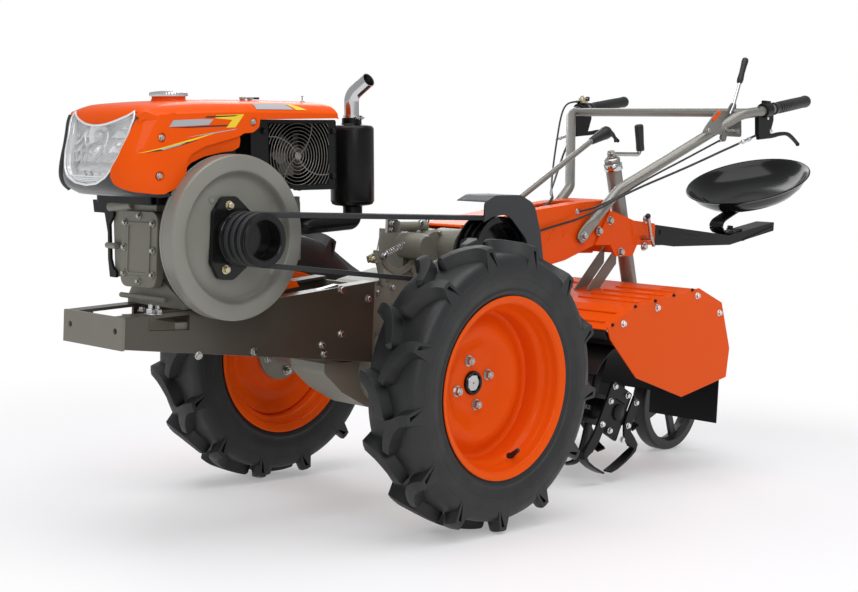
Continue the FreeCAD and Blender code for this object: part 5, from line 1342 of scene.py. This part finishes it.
for S, L in ((1, "left"), (-1, "right")):
    b = Build(MA, [HANDLE, BLACK_PL, ZINC, BLACK_SAT])
    hb = [(87 * S, 812, 744), (92 * S, 914, 834), (320 * S, 1190, 1072), (349.5 * S, 1258, 1085.3), (347 * S, 1519, 1133)]
    b.use(HANDLE).tube(round_path(hb, [70, 90, 90], 12), 15, 28)
    cen = [Vector((87 * S, 818, 750)), Vector((86 * S, 806, 738)), Vector((84 * S, 794, 726)), Vector((82.5 * S, 782, 714)), Vector((82 * S, 768, 700)), Vector((82 * S, 756, 688)), Vector((82 * S, 748, 680))]
    wid = [(15, 15), (14, 16.5), (10, 18.5), (5.5, 19.5), (4.2, 19.5), (4.2, 18), (4.2, 11)]
    b.sweep(cen, lambda t: rounded([(-w_at(wid, t)[1], -w_at(wid, t)[0], w_at(wid, t)[0] * 0.95), (w_at(wid, t)[1], -w_at(wid, t)[0], w_at(wid, t)[0] * 0.95),
            (w_at(wid, t)[1], w_at(wid, t)[0], w_at(wid, t)[0] * 0.95), (-w_at(wid, t)[1], w_at(wid, t)[0], w_at(wid, t)[0] * 0.95)], 5), up=(1, 0, 0))
    b.use(ZINC).bolt((86.2 * S, 764, 695), (S, 0, 0), 17, 9, washer=1.6, turn=12)
    
    b.make("handlebar_%s_visual" % L, "chassis", bevel=1.0, sharp=34, slot="grey_paint", replaces="handlebar_" + L, limit=40)
    g0, g1 = Vector((349.25 * S, 1318, 1096.25)), Vector((346.98 * S, 1521, 1133.37))
    b = Build(MA, [BLACK_PL])
    b.lathe([(0, 15), (0, 18.2), (2, 19), (7, 19), (9, 17.6), (20, 16.6), (60, 17.4), (120, 18.2), (176, 17.6), (186, 18.6), (194, 19), (201, 17.4), (205, 12), (206.3, 0)], g0, g1 - g0, 36, closed=False)
    for k in range(11):
        b.ring(g0 + (g1 - g0).normalized() * (30 + 13 * k), g1 - g0, 17.2 + 0.3 * math.sin(k / 3), 0.9, 36, 6)
    b.make("grip_%s_visual" % L, "chassis", sharp=50, slot="black_plastic", replaces="grips" if S > 0 else ())
    # brake bracket and lever
    b = Build(MA, [BLACK_SAT, SILVER, ZINC])
    x0, x1 = sorted((338 * S, 352 * S))
    b.use(BLACK_SAT).prism([(1234, 1096, 6), (1319, 1102, 6), (1324, 1063, 8), (1306, 1012, 12), (1284, 1004, 8), (1258, 1004, 8), (1245, 1010, 6), (1240, 1050, 6)], "YZ", x0, x1)
    b.lathe([(-1, 15.2), (-1, 21), (1, 22.5), (33, 22.5), (35, 21), (35, 15.2)], (349 * S, 1262, 1087), (0, 0.983, 0.18), 36)
    b.box(*sorted((342 * S, 356 * S)), 1264, 1296, 1104, 1118)
    b.use(SILVER)
    for y, z, r in ((1289, 1067, 5.5), (1310, 1029, 7), (1274, 1112, 4.5)):
        b.lathe([(-2, 0), (-2, r), (2, r), (3.2, r * 0.6), (3.4, 0)], (352.5 * S, y, z), (S, 0, 0), 20, closed=False)
    b.lathe([(0, 0), (0, 4), (6, 5), (7, 6.5), (15, 6.5), (16, 5), (40, 5), (42, 6.5), (48, 6.5), (50, 4), (68, 3.4), (68, 0)], (345 * S, 1214, 1002), (0, -1, -0.27), 20, closed=False)
    b.use(BLACK_SAT)
    lev = spline([(345 * S, 1250, 1008), (345 * S, 1290, 1012), (345 * S, 1330, 1016), (345 * S, 1375, 1024), (345 * S, 1418, 1026), (345 * S, 1450, 1016), (345 * S, 1484, 999)], 6)
    b.sweep(lev, lambda t: rounded([(-5.5, -8 + 4 * t, 2.4), (5.5, -8 + 4 * t, 2.4), (5.5, 8 - 4 * t, 2.4), (-5.5, 8 - 4 * t, 2.4)], 3), up=(0, 0, 1))
    b.ball((345 * S, 1485, 998), 6.5, 14)
    b.make("brake_lever_%s_visual" % L, "chassis", bevel=0.9, sharp=34, slot="black_paint", replaces="brake_levers" if S > 0 else ())
b = Build(MA, [HANDLE, ZINC, BLACK_SAT])
b.use(HANDLE).rod((-331, 1213, 1078), (331, 1213, 1078), 13, n=28, ch=1)
b.make("crossbar_visual", "chassis", bevel=0.8, sharp=34, slot="grey_paint", replaces="handlebar_crossbar")
# hand lever: sector plate, second bracket with its spring, rod and knob
b = Build(MA, [HANDLE, ORANGE, ZINC, CHROME, BLACK_PL])
b.use(HANDLE).prism([(1032, 1006, 6), (1053, 1030, 8), (1101, 1073, 8), (1146, 1081, 8), (1240, 1057, 8), (1246, 1007, 8), (1152, 1005, 12), (1100, 1012, 8)], "YZ", 288, 292)
b.prism([(1160, 1068, 6), (1196, 1106, 8), (1221, 1108, 8), (1222, 1060, 8), (1180, 1046, 8)], "YZ", 279, 283)
b.use(ORANGE).prism([(1078, 1050, 4), (1086, 1056, 4), (1120, 1080, 4), (1126, 1074, 4), (1090, 1044, 4)], "YZ", 286, 294)
b.use(ZINC)
for y, z in ((1206, 1080), (1060, 1018), (1226, 1024), (1150, 1030)):
    b.bolt((292, y, z), (1, 0, 0), 12, 6, washer=1.4, turn=y)
hel = []
for i in range(110):
    t = i / 109
    a = 2 * math.pi * 9 * t
    c = Vector((298.5, 1152, 1024)).lerp(Vector((298.5, 1218, 1027)), t)
    hel.append(c + Vector((math.cos(a) * 4.5, 0, math.sin(a) * 4.5)))
b.tube(hel, 1.1, 6)
b.use(CHROME).tube(round_path([(281, 1190, 1072), (281, 1207, 1098), (281, 1236, 1172)], [20], 8), 5.2, 18)
b.use(BLACK_PL).lathe([(0, 0), (0, 6), (4, 8.8), (14, 10), (34, 8.6), (58, 9.4), (72, 10.6), (80, 9), (83, 5), (83.8, 0)], (280, 1234, 1167), (0, 0.335, 0.942), 28, closed=False)
b.use(HANDLE).prism([(1136, 1000, 3), (1144, 1016, 3), (1166, 1016, 3), (1158, 992, 3), (1146, 988, 3)], "YZ", 284, 294)
b.use(ZINC).rod((289, 1156, 1004), (284, 1138, 989), 4.6, n=16, ch=0.8)
b.make("hand_lever_visual", "chassis", bevel=0.8, sharp=34, slot="grey_paint", replaces="hand_lever")
# shift lever
b = Build(MA, [HANDLE, BLACK_PL, ZINC, BLACK_SAT])
b.use(HANDLE).tube([(-86, 470, 682), (-86, 1012, 984)], 8.6, 24)
b.use(BLACK_PL).lathe([(0, 8), (0, 11), (5, 12), (50, 17), (66, 19.5), (74, 20.5), (82, 20), (88, 17), (92, 11), (94, 0)], (-86, 1000, 977), (0, 0.924, 0.383), 40, closed=False)
b.tube(spline([(-86, 1076, 1008), (-86, 1092, 1012), (-86, 1108, 1006), (-86, 1120, 992), (-86, 1124, 980)], 6), 4.6, 12)
b.use(ZINC).lathe([(0, 0), (0, 15), (12, 15), (16, 11), (30, 10), (30, 0)], (-86, 468, 681), (0, 0.873, 0.487), 24, closed=False)
b.make("shift_lever_visual", "chassis", sharp=36, slot="grey_paint", replaces="shift_lever")
# lift jack: outer tube, collar, nut and crank
JT, J0 = Vector((0, 0.308, -0.951)), Vector((0, 996, 922))
b = Build(MA, [HANDLE, CHROME, ZINC, BLACK_PL])
b.use(HANDLE).lathe([(0, 0), (0, 24), (400, 24), (400, 20.5)], J0, JT, 40, closed=False)
b.lathe([(196, 24), (196, 29), (236, 29), (236, 24)], J0, JT, 40)
b.use(CHROME).lathe([(10, 24), (10, 27), (12, 28), (30, 28), (32, 27), (32, 24)], J0, JT, 40)
b.use(ZINC).lathe([(-6, 0), (-6, 20), (-3, 23.5), (2, 24.4), (2, 0)], J0, JT, 36, closed=False)
b.use(ZINC)
b.bolt((24, 1066, 706), (1, 0, 0), 15, 8, washer=1.5)
b.make("lift_outer_tube_visual", "chassis", bevel=0.7, sharp=34, slot="grey_paint", replaces="lift_outer_tube")
b = Build(MA, [ZINC, BLACK_PL, CHROME])
b.use(ZINC).bolt(J0 - JT * 9, -JT, 22, 12, washer=1.3)
b.tube(round_path([tuple(J0 - JT * 18), (0, 1138, 944), (0, 1128, 990)], [14], 8), 6.4, 18)
b.tube([tuple(J0 - JT * 12), tuple(J0 - JT * 27)], 11, 24)
b.use(BLACK_PL).lathe([(-3, 0), (-3, 11), (-1, 12.6), (3, 13), (20, 12.6), (70, 14), (76, 13.6), (79, 10), (80, 0)], (0, 1138, 958), (0, -0.19, 0.98), 26, closed=False)
b.make("lift_crank_visual", "chassis", sharp=36, slot="steel", replaces="lift_crank")
# throttle unit on the right bar
b = Build(MA, [ZINC_Y, ZINC, BLACK_PL])
b.use(ZINC_Y).box(-362, -334, 1264, 1294, 1112, 1120).lathe([(0, 0), (0, 11), (10, 11), (13, 8), (13, 0)], (-348, 1279, 1119), (0, 0, 1), 28, closed=False)
b.obox((-348, 1290, 1128), (0, 1, 0.12), (1, 0, 0), (0, -0.12, 1), 24, 6, 1.6)
b.use(BLACK_PL).lathe([(0, 0), (0, 7), (12, 7.5), (14, 5), (14, 0)], (-348, 1308, 1121), (0, 0.1, 1), 20, closed=False)
b.use(ZINC).bolt((-348, 1279, 1131), (0, 0, 1), 9, 5, washer=1.3)
b.make("throttle_visual", "chassis", bevel=0.8, sharp=34, slot="steel", replaces="throttle_lever")

# ------------------------------------------------ beam, bracket, seat
b = Build(MA, [BLACK_SAT, ZINC, ORANGE, STEEL, YELLOW])
for S in (1, -1):
    for y, z in ((895, 740.5), (844, 709), (957, 647)):
        b.use(ZINC).bolt((78.2 * S, y, z), (S, 0, 0), 17, 9, washer=1.6, turn=y)
    for y, z in ((1075, 747), (1072, 663)):
        b.use(STEEL).lathe([(0, 0), (0, 13), (4, 13), (4, 9), (11, 9), (13, 7), (13, 0)], (78.2 * S, y, z), (S, 0, 0), 26, closed=False)
    for pth in (((646, 716), (618, 682)), ((582, 682), (560, 682), (540, 654)), ((705, 725), (690, 708), (685, 691))):
        b.use(ORANGE).tube([(71.6 * S, y, z) for y, z in pth], 3.2, 10)
    b.use(STEEL).bolt((72 * S, 744, 763), (S, 0, 0), 12, 3, washer=1.3)
    for y, z in ((300, 600), (300, 690), (360, 655)):
        b.use(BLACK_SAT).bolt((72 * S, y, z), (S, 0, 0), 17, 9, washer=1.6, turn=y)
for S in (1, -1):
    x0, x1 = sorted((71.9 * S, 72.7 * S))
    b.use(YELLOW).prism([(330, 668), (560, 700), (562, 695), (330, 662)], "YZ", x0, x1)
b.make("beam_bolts", "chassis", bevel=0.4, sharp=34, slot="black_paint")
b = Build(MA, [ZINC, BLACK_PL])
b.use(ZINC).rod((78.6, 1062, 690), (117.5, 1062, 690), 7, n=22, ch=0.8).tube([(112, 1040, 761), (112, 1062, 690), (112, 1078, 668)], 5.6, 16)
b.use(BLACK_PL).ball((112, 1040, 757), 8.6, 18).ball((112, 1078, 671), 6.4, 16)
b.make("clamp_handle_visual", "chassis", bevel=0.0, sharp=40, slot="steel", replaces="clamp_handle")
# dished seat with a rolled rim
b = Build(MA, [BLACK])
AX = Vector((0, -math.sin(rad(22.8)), math.cos(rad(22.8))))
prof = [(0, -66), (60, -65.4), (90, -63.6), (120, -58.5), (150, -49.6), (176, -32), (192, -14), (199, -3), (202.5, 0.0), (206, 2.2), (208.6, 2.4), (210.0, 0.4), (209.2, -2.2), (206.4, -3), (203, -4.4), (197, -12), (180, -34), (154, -53.5), (122, -63), (90, -68.4), (0, -71)]
b.lathe([(h, r) for r, h in prof], (0, 1767, 881), AX, 96, closed=False)
U_ = Vector((0, AX.z, -AX.y))
cr = []
for i in range(41):
    th = rad(-128 + 256 * i / 40)
    xx = 150 * math.sin(th * 0.62)
    yy = -96 - 34 * math.cos(th * 0.62) * 0 - 0.0016 * xx * xx * -1.0
    r_ = math.hypot(xx, yy)
    hh = -66 + (0 if r_ < 60 else 0)
    for (r0, h0), (r1, h1) in zip(prof, prof[1:]):
        if r0 <= r_ <= r1:
            hh = h0 + (h1 - h0) * (r_ - r0) / (r1 - r0)
            break
    cr.append(Vector((xx, 1767, 881)) + U_ * yy + AX * (hh + 0.4))
b.tube(cr, 2.6, 10)
b.make("seat_pan_visual", "chassis", sharp=60, slot="black_paint", replaces="seat_pan")
b = Build(MA, [BLACK_SAT, ZINC])
sb = spline([(0, 1712, 716), (0, 1664, 704), (0, 1614, 706), (0, 1592, 722), (0, 1600, 742), (0, 1640, 760), (0, 1710, 786), (0, 1784, 812)], 8)
b.sweep(sb, RND(26, 3, 1.2), up=(0, -0.3, 1))
b.use(BLACK_SAT).bolt((0, 1676, 716), (0, 0.1, 1), 17, 10, washer=1.5)
b.make("seat_spring_visual", "chassis", bevel=0.6, sharp=34, slot="black_paint", replaces="seat_spring")
b = Build(MA, [BLACK_SAT])
for S in (1, -1):
    x0, x1 = sorted((33.6 * S, 36.6 * S))
    b.prism([(1219, 713, 4), (1440, 694, 4), (1452, 690, 4), (1440, 683, 4), (1219, 697, 4)], "YZ", x0, x1)
    b.prism([(1700, 682, 3), (1890, 730, 3), (1890, 724, 3), (1700, 677, 3)], "YZ", x0, x1)
b.make("seat_beam_ribs", "chassis", bevel=1.2, sharp=34, slot="black_paint")

# ------------------------------------------------------------- tiller
b = Build(MA, [BLACK_SAT, SILVER, ORANGE, HANDLE])
for S in (1, -1):
    for y, z in ((1012.8, 556), (919.3, 542.5), (828.7, 529), (734, 516), (632, 468)):
        b.use(BLACK_SAT).bolt((302 * S, y, z - 5.5), (S, 0, 0), 8, 4, washer=1.3, turn=y)
    for y, z in ((1041, 533), (841, 503), (682, 464), (1164, 478)):
        b.use(SILVER).bolt((302 * S, y, z), (S, 0, 0), 14, 7, washer=1.5, turn=y)
    x0, x1 = sorted((302 * S, 308 * S))
b.make("tiller_bolts", "chassis", bevel=0.4, sharp=34, slot="black_paint")
b = Build(MA, [ORANGE])
top = [(607, 450), (726, 506.5), (1051, 551.8), (1175, 506.6), (1212, 425)]


def at_top(y):
    for (a, c), (d, e) in zip(top, top[1:]):
        if a <= y <= d:
            return Vector((0, y, c + (e - c) * (y - a) / (d - a))), Vector((0, -(e - c), d - a)).normalized()


for y in (640, 690, 790, 850, 910, 970, 1090, 1140):
    p, nn = at_top(y)
    for x0, x1 in ((-270, -60), (60, 270)):
        b.tube([Vector((x0, 0, 0)) + p + nn * 0.5, Vector((x1, 0, 0)) + p + nn * 0.5], 4.2, 12)
b.make("tiller_cover_ribs", "chassis", sharp=60, slot="orange_paint")
# black lining under the cover, clear of the rotor's sweep
b = Build(MA, [BLACK_SAT])
ln = [(756 + 214 * math.cos(rad(a)), 202 + 214 * math.sin(rad(a))) for a in range(12, 146, 4)]
ins = [(756 + 217 * math.cos(rad(a)), 202 + 217 * math.sin(rad(a))) for a in range(144, 10, -4)]
b.prism(ln + ins, "YZ", -294, 294)
b.prism([(604, 446, 2), (618, 450, 2), (628, 424, 2), (618, 420, 2)], "YZ", -294, 294)
b.make("tiller_lining", "chassis", sharp=40, slot="black_paint")

# ============================================================ control cables
CABLES = {
    "left_brake_cable": (3.5, 1.123, [(345, 1237.5, 1012), (326, 1186, 987), (300, 1130, 960), (262, 1070, 925), (222, 1000, 888), (176, 920, 848),
                   (134, 846, 806), (106, 780, 766), (92, 720, 742), (86, 650, 727), (86, 562, 709), (86, 507, 697), (86, 430, 684),
                   (86, 340, 672), (86, 242.3, 664)]),
    "hand_lever_cable": (3.0, 0.531, [(289, 1146, 996), (262, 1098, 966), (225, 1042, 928), (186, 984, 890), (150, 930, 852), (118, 880, 812),
                   (98, 806, 781), (86, 768, 770), (72, 748, 765), (58, 738, 763)]),
    "right_brake_cable": (3.5, 0.783, [(-345, 1237.5, 1012), (-318, 1165, 955), (-268, 1080, 905), (-195, 965, 850), (-125, 860, 812), (-62, 796, 803),
                    (-24, 748, 798), (-12, 690, 770), (-10, 610, 748)]),
    "throttle_cable": (3.0, 0.876, [(-348, 1263.8, 1116), (-348, 1224, 1113), (-340, 1180, 1098), (-320, 1136, 1058), (-269, 1060, 985), (-208, 972, 903),
                 (-122, 860, 826), (-58, 786, 815), (-14, 735, 803), (10, 680, 772), (12, 600, 750)]),
}
for name_, (r_, length_, pts_) in CABLES.items():
    cu = bpy.data.curves.new(name_, "CURVE")
    cu.dimensions = "3D"
    cu.bevel_depth = r_ / 1000
    cu.bevel_resolution = 4
    cu.resolution_u = 10
    cu.use_fill_caps = True
    sp = cu.splines.new("NURBS")
    sp.points.add(len(pts_) - 1)
    for q, p in zip(sp.points, pts_):
        w = MA @ Vector(p)
        q.co = (w.x, w.y, w.z, 1)
    sp.order_u = 3
    sp.use_endpoint_u = True
    cu.materials.append(BLACK_PL)
    o = bpy.data.objects.new(name_, cu)
    scene.collection.objects.link(o)
    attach(o, "chassis")
    if name_ == "left_brake_cable":
        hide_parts("control_cables")

# ==================================================== rotor and its blades
def turned(x, y, z, a):
    return Vector((x, 756 + y * math.cos(rad(a)) - z * math.sin(rad(a)), 202 + y * math.sin(rad(a)) + z * math.cos(rad(a))))


b = Build(MA, [BLACK_SAT])
b.rod((-245, 756, 202), (245, 756, 202), 31, n=36, ch=1)
for S in (1, -1):
    for i, x in enumerate((79, 160, 240)):
        a = 45 + 30 * i
        c = [turned(0, y, z, a) for y, z in ((-46, -46), (46, -46), (46, 46), (-46, 46))]
        b.prism([(p.y, p.z, 10) for p in c], "YZ", S * x - 3.9, S * x + 3.9)
    b.lathe([(0, 0), (0, 24), (7, 24), (9, 20), (9, 0)], (245 * S, 756, 202), (S, 0, 0), 32, closed=False)
b.make("rotor_shaft_visual", "tiller_rotor", bevel=0.8, sharp=34, slot="black_paint", replaces="rotor_shaft")
b = Build(MA, [BLACK_SAT, ZINC, SILVER])
for S in (1, -1):
    for i, x in enumerate((79, 160, 240)):
        for k in range(4):
            side = 1 if k % 2 == 0 else -1
            if i == 2:
                continue
            a = 45 + 90 * k + 30 * i
            x_ = S * x + side * 7.7
            loc = [(0, -2, 26), (0, -2, 60), (0, -1, 100), (0, 3, 128), (side * 2, 8, 146), (side * 8, 13, 159), (side * 17, 18, 167), (side * 28, 22, 171.5), (side * 30.5, 24, 172)]
            pts = spline([turned(x_ + dx, y, z, a) for dx, y, z in loc], 4)
            up = turned(0, 1, 0, a) - turned(0, 0, 0, a)
            b.use(BLACK_SAT).sweep(pts, lambda t: rounded([(-3.4, -16 + 3 * t, 1.2), (3.4, -16 + 3 * t, 1.2), (3.4, 16 - 4 * t, 1.2), (-3.4, 16 - 4 * t, 1.2)], 2), up=up)
            for r in (38, 56):
                p = turned(x_ + side * 3.4, -2, r, a)
                b.use(ZINC).bolt(p, (side, 0, 0), 11, 6, washer=1.4, turn=a)
# outermost set: two bent blades bolted to a tilted plate
TAB = [(17, 3.4, 3.4), (17, 3.4, 3.4), (17, 3.4, 3.4), (17, 3.4, 3.4), (16, 3.4, 6), (11, 3.4, 12), (6, 3.4, 18), (4, 3.4, 25), (3.4, 3.4, 27), (3.2, 3.4, 27), (2.4, 3.4, 24)]


def blade_sec(t):
    f = t * (len(TAB) - 1)
    i = min(int(f), len(TAB) - 2)
    w = [TAB[i][k] + (TAB[i + 1][k] - TAB[i][k]) * (f - i) for k in range(3)]
    return [(-w[0], -w[2]), (w[0], -w[2]), (w[0], w[1]), (-w[0], w[1])]


for S in (1, -1):
    q = (Vector((0, 1, 0)) * math.cos(rad(-27)) + Vector((0, 0, 1)) * math.sin(rad(-27)))
    for pth in (((733, 286), (708, 239), (675, 176), (652, 138), (628, 112), (611, 97), (610, 84), (622, 72), (648, 56), (676, 43), (698, 34)),
                ((838, 236), (815, 196), (798, 161), (800, 135), (824, 112), (842, 98), (840, 86), (822, 72), (792, 56), (760, 42), (730, 34))):
        pts = [Vector((250.5 * S, y, z)) for y, z in pth]
        b.use(BLACK_SAT).sweep(pts, blade_sec, up=(S, 0, 0))
    for y, z in ((726, 279.5), (788, 249), (708, 239), (831, 225), (675, 176), (798, 161), (711, 155), (772, 123)):
        b.use(SILVER).bolt((254 * S, y, z), (S, 0, 0), 13, 6, washer=1.4, turn=y)
    c = [Vector((0, 752, 202)) + Vector((0, u * math.cos(rad(27)) + v * math.sin(rad(27)), -u * math.sin(rad(27)) + v * math.cos(rad(27)))) for u, v in ((-60, -74), (40, -74), (40, 74), (-60, 74))]
    b.use(BLACK_SAT).prism([(p.y, p.z, 6) for p in c], "YZ", *sorted((240 * S, 247 * S)))
    b.use(BLACK_SAT).prism([(700, 262, 4), (715, 290, 4), (800, 250, 4), (786, 222, 4)], "YZ", *sorted((247 * S, 253 * S)))
b.make("rotor_tines_visual", "tiller_rotor", bevel=0.6, sharp=34, slot="black_paint", replaces="rotor_tines")

# ==================================== finishes of the carried-over nodes
FINISH = {
    # the frame rails, cooling fan and clutch linkage take the darker olive copy, which is painted shade
    "frame_rail_left": OLIVE_SHADED, "frame_rail_right": OLIVE_SHADED, "front_bumper": OLIVE, "frame_cross_members": OLIVE,
    "crankcase": OLIVE_CAST, "crankcase_cover": OLIVE_CAST, "engine_side_bracket": BLACK_SAT, "cylinder_head": OLIVE_CAST,
    "hood": ORANGE, "headlight_lens": SILVER, "headlight_housing": CHIN, "fuel_tank": BLACK_SAT, "fuel_cap": CHROME,
    "radiator_housing": BLACK_SAT, "cooling_fan": OLIVE_SHADED, "muffler": MUFFLER, "exhaust_outlet": CHROME, "flywheel": FLY, "engine_pulley": BLACK,
    "clutch_pulley": BLACK, "drive_belts": BELT, "gearbox_case": OLIVE_CAST, "clutch_linkage": OLIVE_SHADED, "belt_guard": GUARD,
    "main_beam": ORANGE, "rear_bracket": ORANGE, "clamp_handle": ZINC, "seat_beam": BLACK_SAT, "seat_spring": BLACK_SAT,
    "seat_pan": BLACK, "handlebar_left": HANDLE, "handlebar_right": HANDLE, "handlebar_crossbar": HANDLE, "grips": BLACK_PL,
    "brake_levers": BLACK_SAT, "hand_lever": CHROME, "throttle_lever": ZINC_Y, "shift_lever": ZINC,
    "tiller_side_plates": ORANGE, "tiller_cover": ORANGE, "tiller_drive_case": BLACK_SAT, "tiller_cross_bars": BLACK_SAT,
    "support_stays": OLIVE, "rear_flap_left": BLACK_SAT, "rear_flap_right": BLACK_SAT, "rotor_shaft": BLACK_SAT,
    "rotor_tines": BLACK_SAT, "lift_outer_tube": HANDLE, "lift_crank": ZINC, "tail_wheel_fork": STEEL, "tail_wheel": BLACK_PL,
    "tyre_left": TYRE, "tyre_right": TYRE, "rim_left": ORANGE, "rim_right": ORANGE, "hub_left": BLACK, "hub_right": BLACK,
    "control_cables": BLACK_PL,
}
SOFT_EDGE = {"hood": 3.0, "seat_pan": 0.8, "rear_flap_left": 0.6, "rear_flap_right": 0.6, "tiller_cover": 0.8}
for name_, o_ in nodes.items():
    o_.data.materials.clear()
    o_.data.materials.append(FINISH[name_])
    if not o_.hide_render:
        w_ = o_.modifiers.new("Weld", "WELD")
        w_.merge_threshold = 1e-5
        b_ = o_.modifiers.new("Bevel", "BEVEL")
        b_.width = SOFT_EDGE.get(name_, 1.5) / 1000
        b_.segments = 2
        b_.limit_method = "ANGLE"
        b_.angle_limit = rad(38)
        b_.harden_normals = True

# ================================================================ stage
def camera():
    az, el, roll = rad(43.32), rad(4.43), rad(2.58)
    cam_d = bpy.data.cameras.new("camera")
    cam = bpy.data.objects.new("camera", cam_d)
    scene.collection.objects.link(cam)
    cam_d.sensor_width = 36.0
    cam_d.lens = 1513.6 / 858 * 36
    cam_d.clip_start, cam_d.clip_end = 0.05, 200
    back = Vector((math.sin(az) * math.cos(el), -math.cos(az) * math.cos(el), math.sin(el)))
    d = -back
    right = Vector((math.cos(az), math.sin(az), 0))
    up = right.cross(d)
    R = right * math.cos(roll) + up * math.sin(roll)
    U = -right * math.sin(roll) + up * math.cos(roll)
    m = Matrix((R, U, back)).transposed().to_4x4()
    m.translation = Vector((2.7733, -2.7267 - YS, 0.8400))
    cam.matrix_world = m
    scene.camera = cam


def area(name, loc, aim, sx, sy, power, col=(1, 1, 1)):
    l = bpy.data.lights.new(name, "AREA")
    l.shape = "RECTANGLE"
    l.size, l.size_y = sx, sy
    l.energy = power
    l.color = col
    o = bpy.data.objects.new(name, l)
    scene.collection.objects.link(o)
    o.location = loc
    o.rotation_mode = "QUATERNION"
    o.rotation_quaternion = (Vector(aim) - Vector(loc)).to_track_quat("-Z", "Y")
    return o


def stage():
    n, R = 96, 40.0
    verts = [(0, 0, 0)]
    faces = []
    radii = [1.0, 2.0, 3.0, 4.5, 7.0, 12.0, 20.0, R]
    for r in radii:
        for k in range(n):
            a = 2 * math.pi * k / n
            verts.append((r * math.cos(a), r * math.sin(a), 0))
    for k in range(n):
        faces.append((0, 1 + k, 1 + (k + 1) % n))
    for i in range(len(radii) - 1):
        for k in range(n):
            a, b = 1 + i * n + k, 1 + i * n + (k + 1) % n
            faces.append((a, a + n, b + n, b))
    me = bpy.data.meshes.new("floor")
    me.from_pydata(verts, [], faces)
    o = bpy.data.objects.new("floor", me)
    scene.collection.objects.link(o)
    m = bpy.data.materials.new("floor_white")
    m.use_nodes = True
    nt = m.node_tree
    nt.nodes.clear()
    out = nt.nodes.new("ShaderNodeOutputMaterial")
    dif = nt.nodes.new("ShaderNodeBsdfPrincipled")
    dif.inputs["Base Color"].default_value = (0.93, 0.922, 0.94, 1)
    dif.inputs["Roughness"].default_value = 0.55
    dif.inputs["Specular IOR Level"].default_value = 0.25
    em = nt.nodes.new("ShaderNodeEmission")
    em.inputs["Strength"].default_value = 1.0
    mix = nt.nodes.new("ShaderNodeMixShader")
    tc = nt.nodes.new("ShaderNodeTexCoord")
    ln = nt.nodes.new("ShaderNodeVectorMath"); ln.operation = "LENGTH"
    mr = nt.nodes.new("ShaderNodeMapRange")
    mr.interpolation_type = "SMOOTHSTEP"
    mr.inputs["From Min"].default_value = 1.1
    mr.inputs["From Max"].default_value = 2.5
    mr.inputs["To Min"].default_value = 0.30
    nt.links.new(tc.outputs["Object"], ln.inputs[0])
    nt.links.new(ln.outputs["Value"], mr.inputs["Value"])
    nt.links.new(mr.outputs[0], mix.inputs[0])
    nt.links.new(dif.outputs[0], mix.inputs[1])
    nt.links.new(em.outputs[0], mix.inputs[2])
    nt.links.new(mix.outputs[0], out.inputs[0])
    me.materials.append(m)
    w = bpy.data.worlds.new("world")
    scene.world = w
    w.use_nodes = True
    nt = w.node_tree
    nt.nodes.clear()
    out = nt.nodes.new("ShaderNodeOutputWorld")
    bg = nt.nodes.new("ShaderNodeBackground")
    bg.inputs["Color"].default_value = (1, 1, 1, 1)
    bg.inputs["Strength"].default_value = 1.0
    bg2 = nt.nodes.new("ShaderNodeBackground")
    bg2.inputs["Color"].default_value = (0.96, 0.98, 1.0, 1)
    bg2.inputs["Strength"].default_value = 0.50
    lp = nt.nodes.new("ShaderNodeLightPath")
    mx = nt.nodes.new("ShaderNodeMixShader")
    nt.links.new(lp.outputs["Is Camera Ray"], mx.inputs[0])
    nt.links.new(bg2.outputs[0], mx.inputs[1])
    nt.links.new(bg.outputs[0], mx.inputs[2])
    nt.links.new(mx.outputs[0], out.inputs[0])
    area("key_top", (0.6, -YS - 0.3, 4.2), (0, 0.1, 0.3), 4.6, 3.6, 120)
    area("left_front", (3.6, -YS - 2.2, 2.6), (0.1, -0.5, 0.5), 1.8, 1.8, 46)
    area("rear_right", (-3.2, 2.6, 2.8), (0, 0.2, 0.5), 2.2, 2.2, 45)
    scene.view_settings.view_transform = "Standard"
    scene.view_settings.look = "None"


camera()
stage()
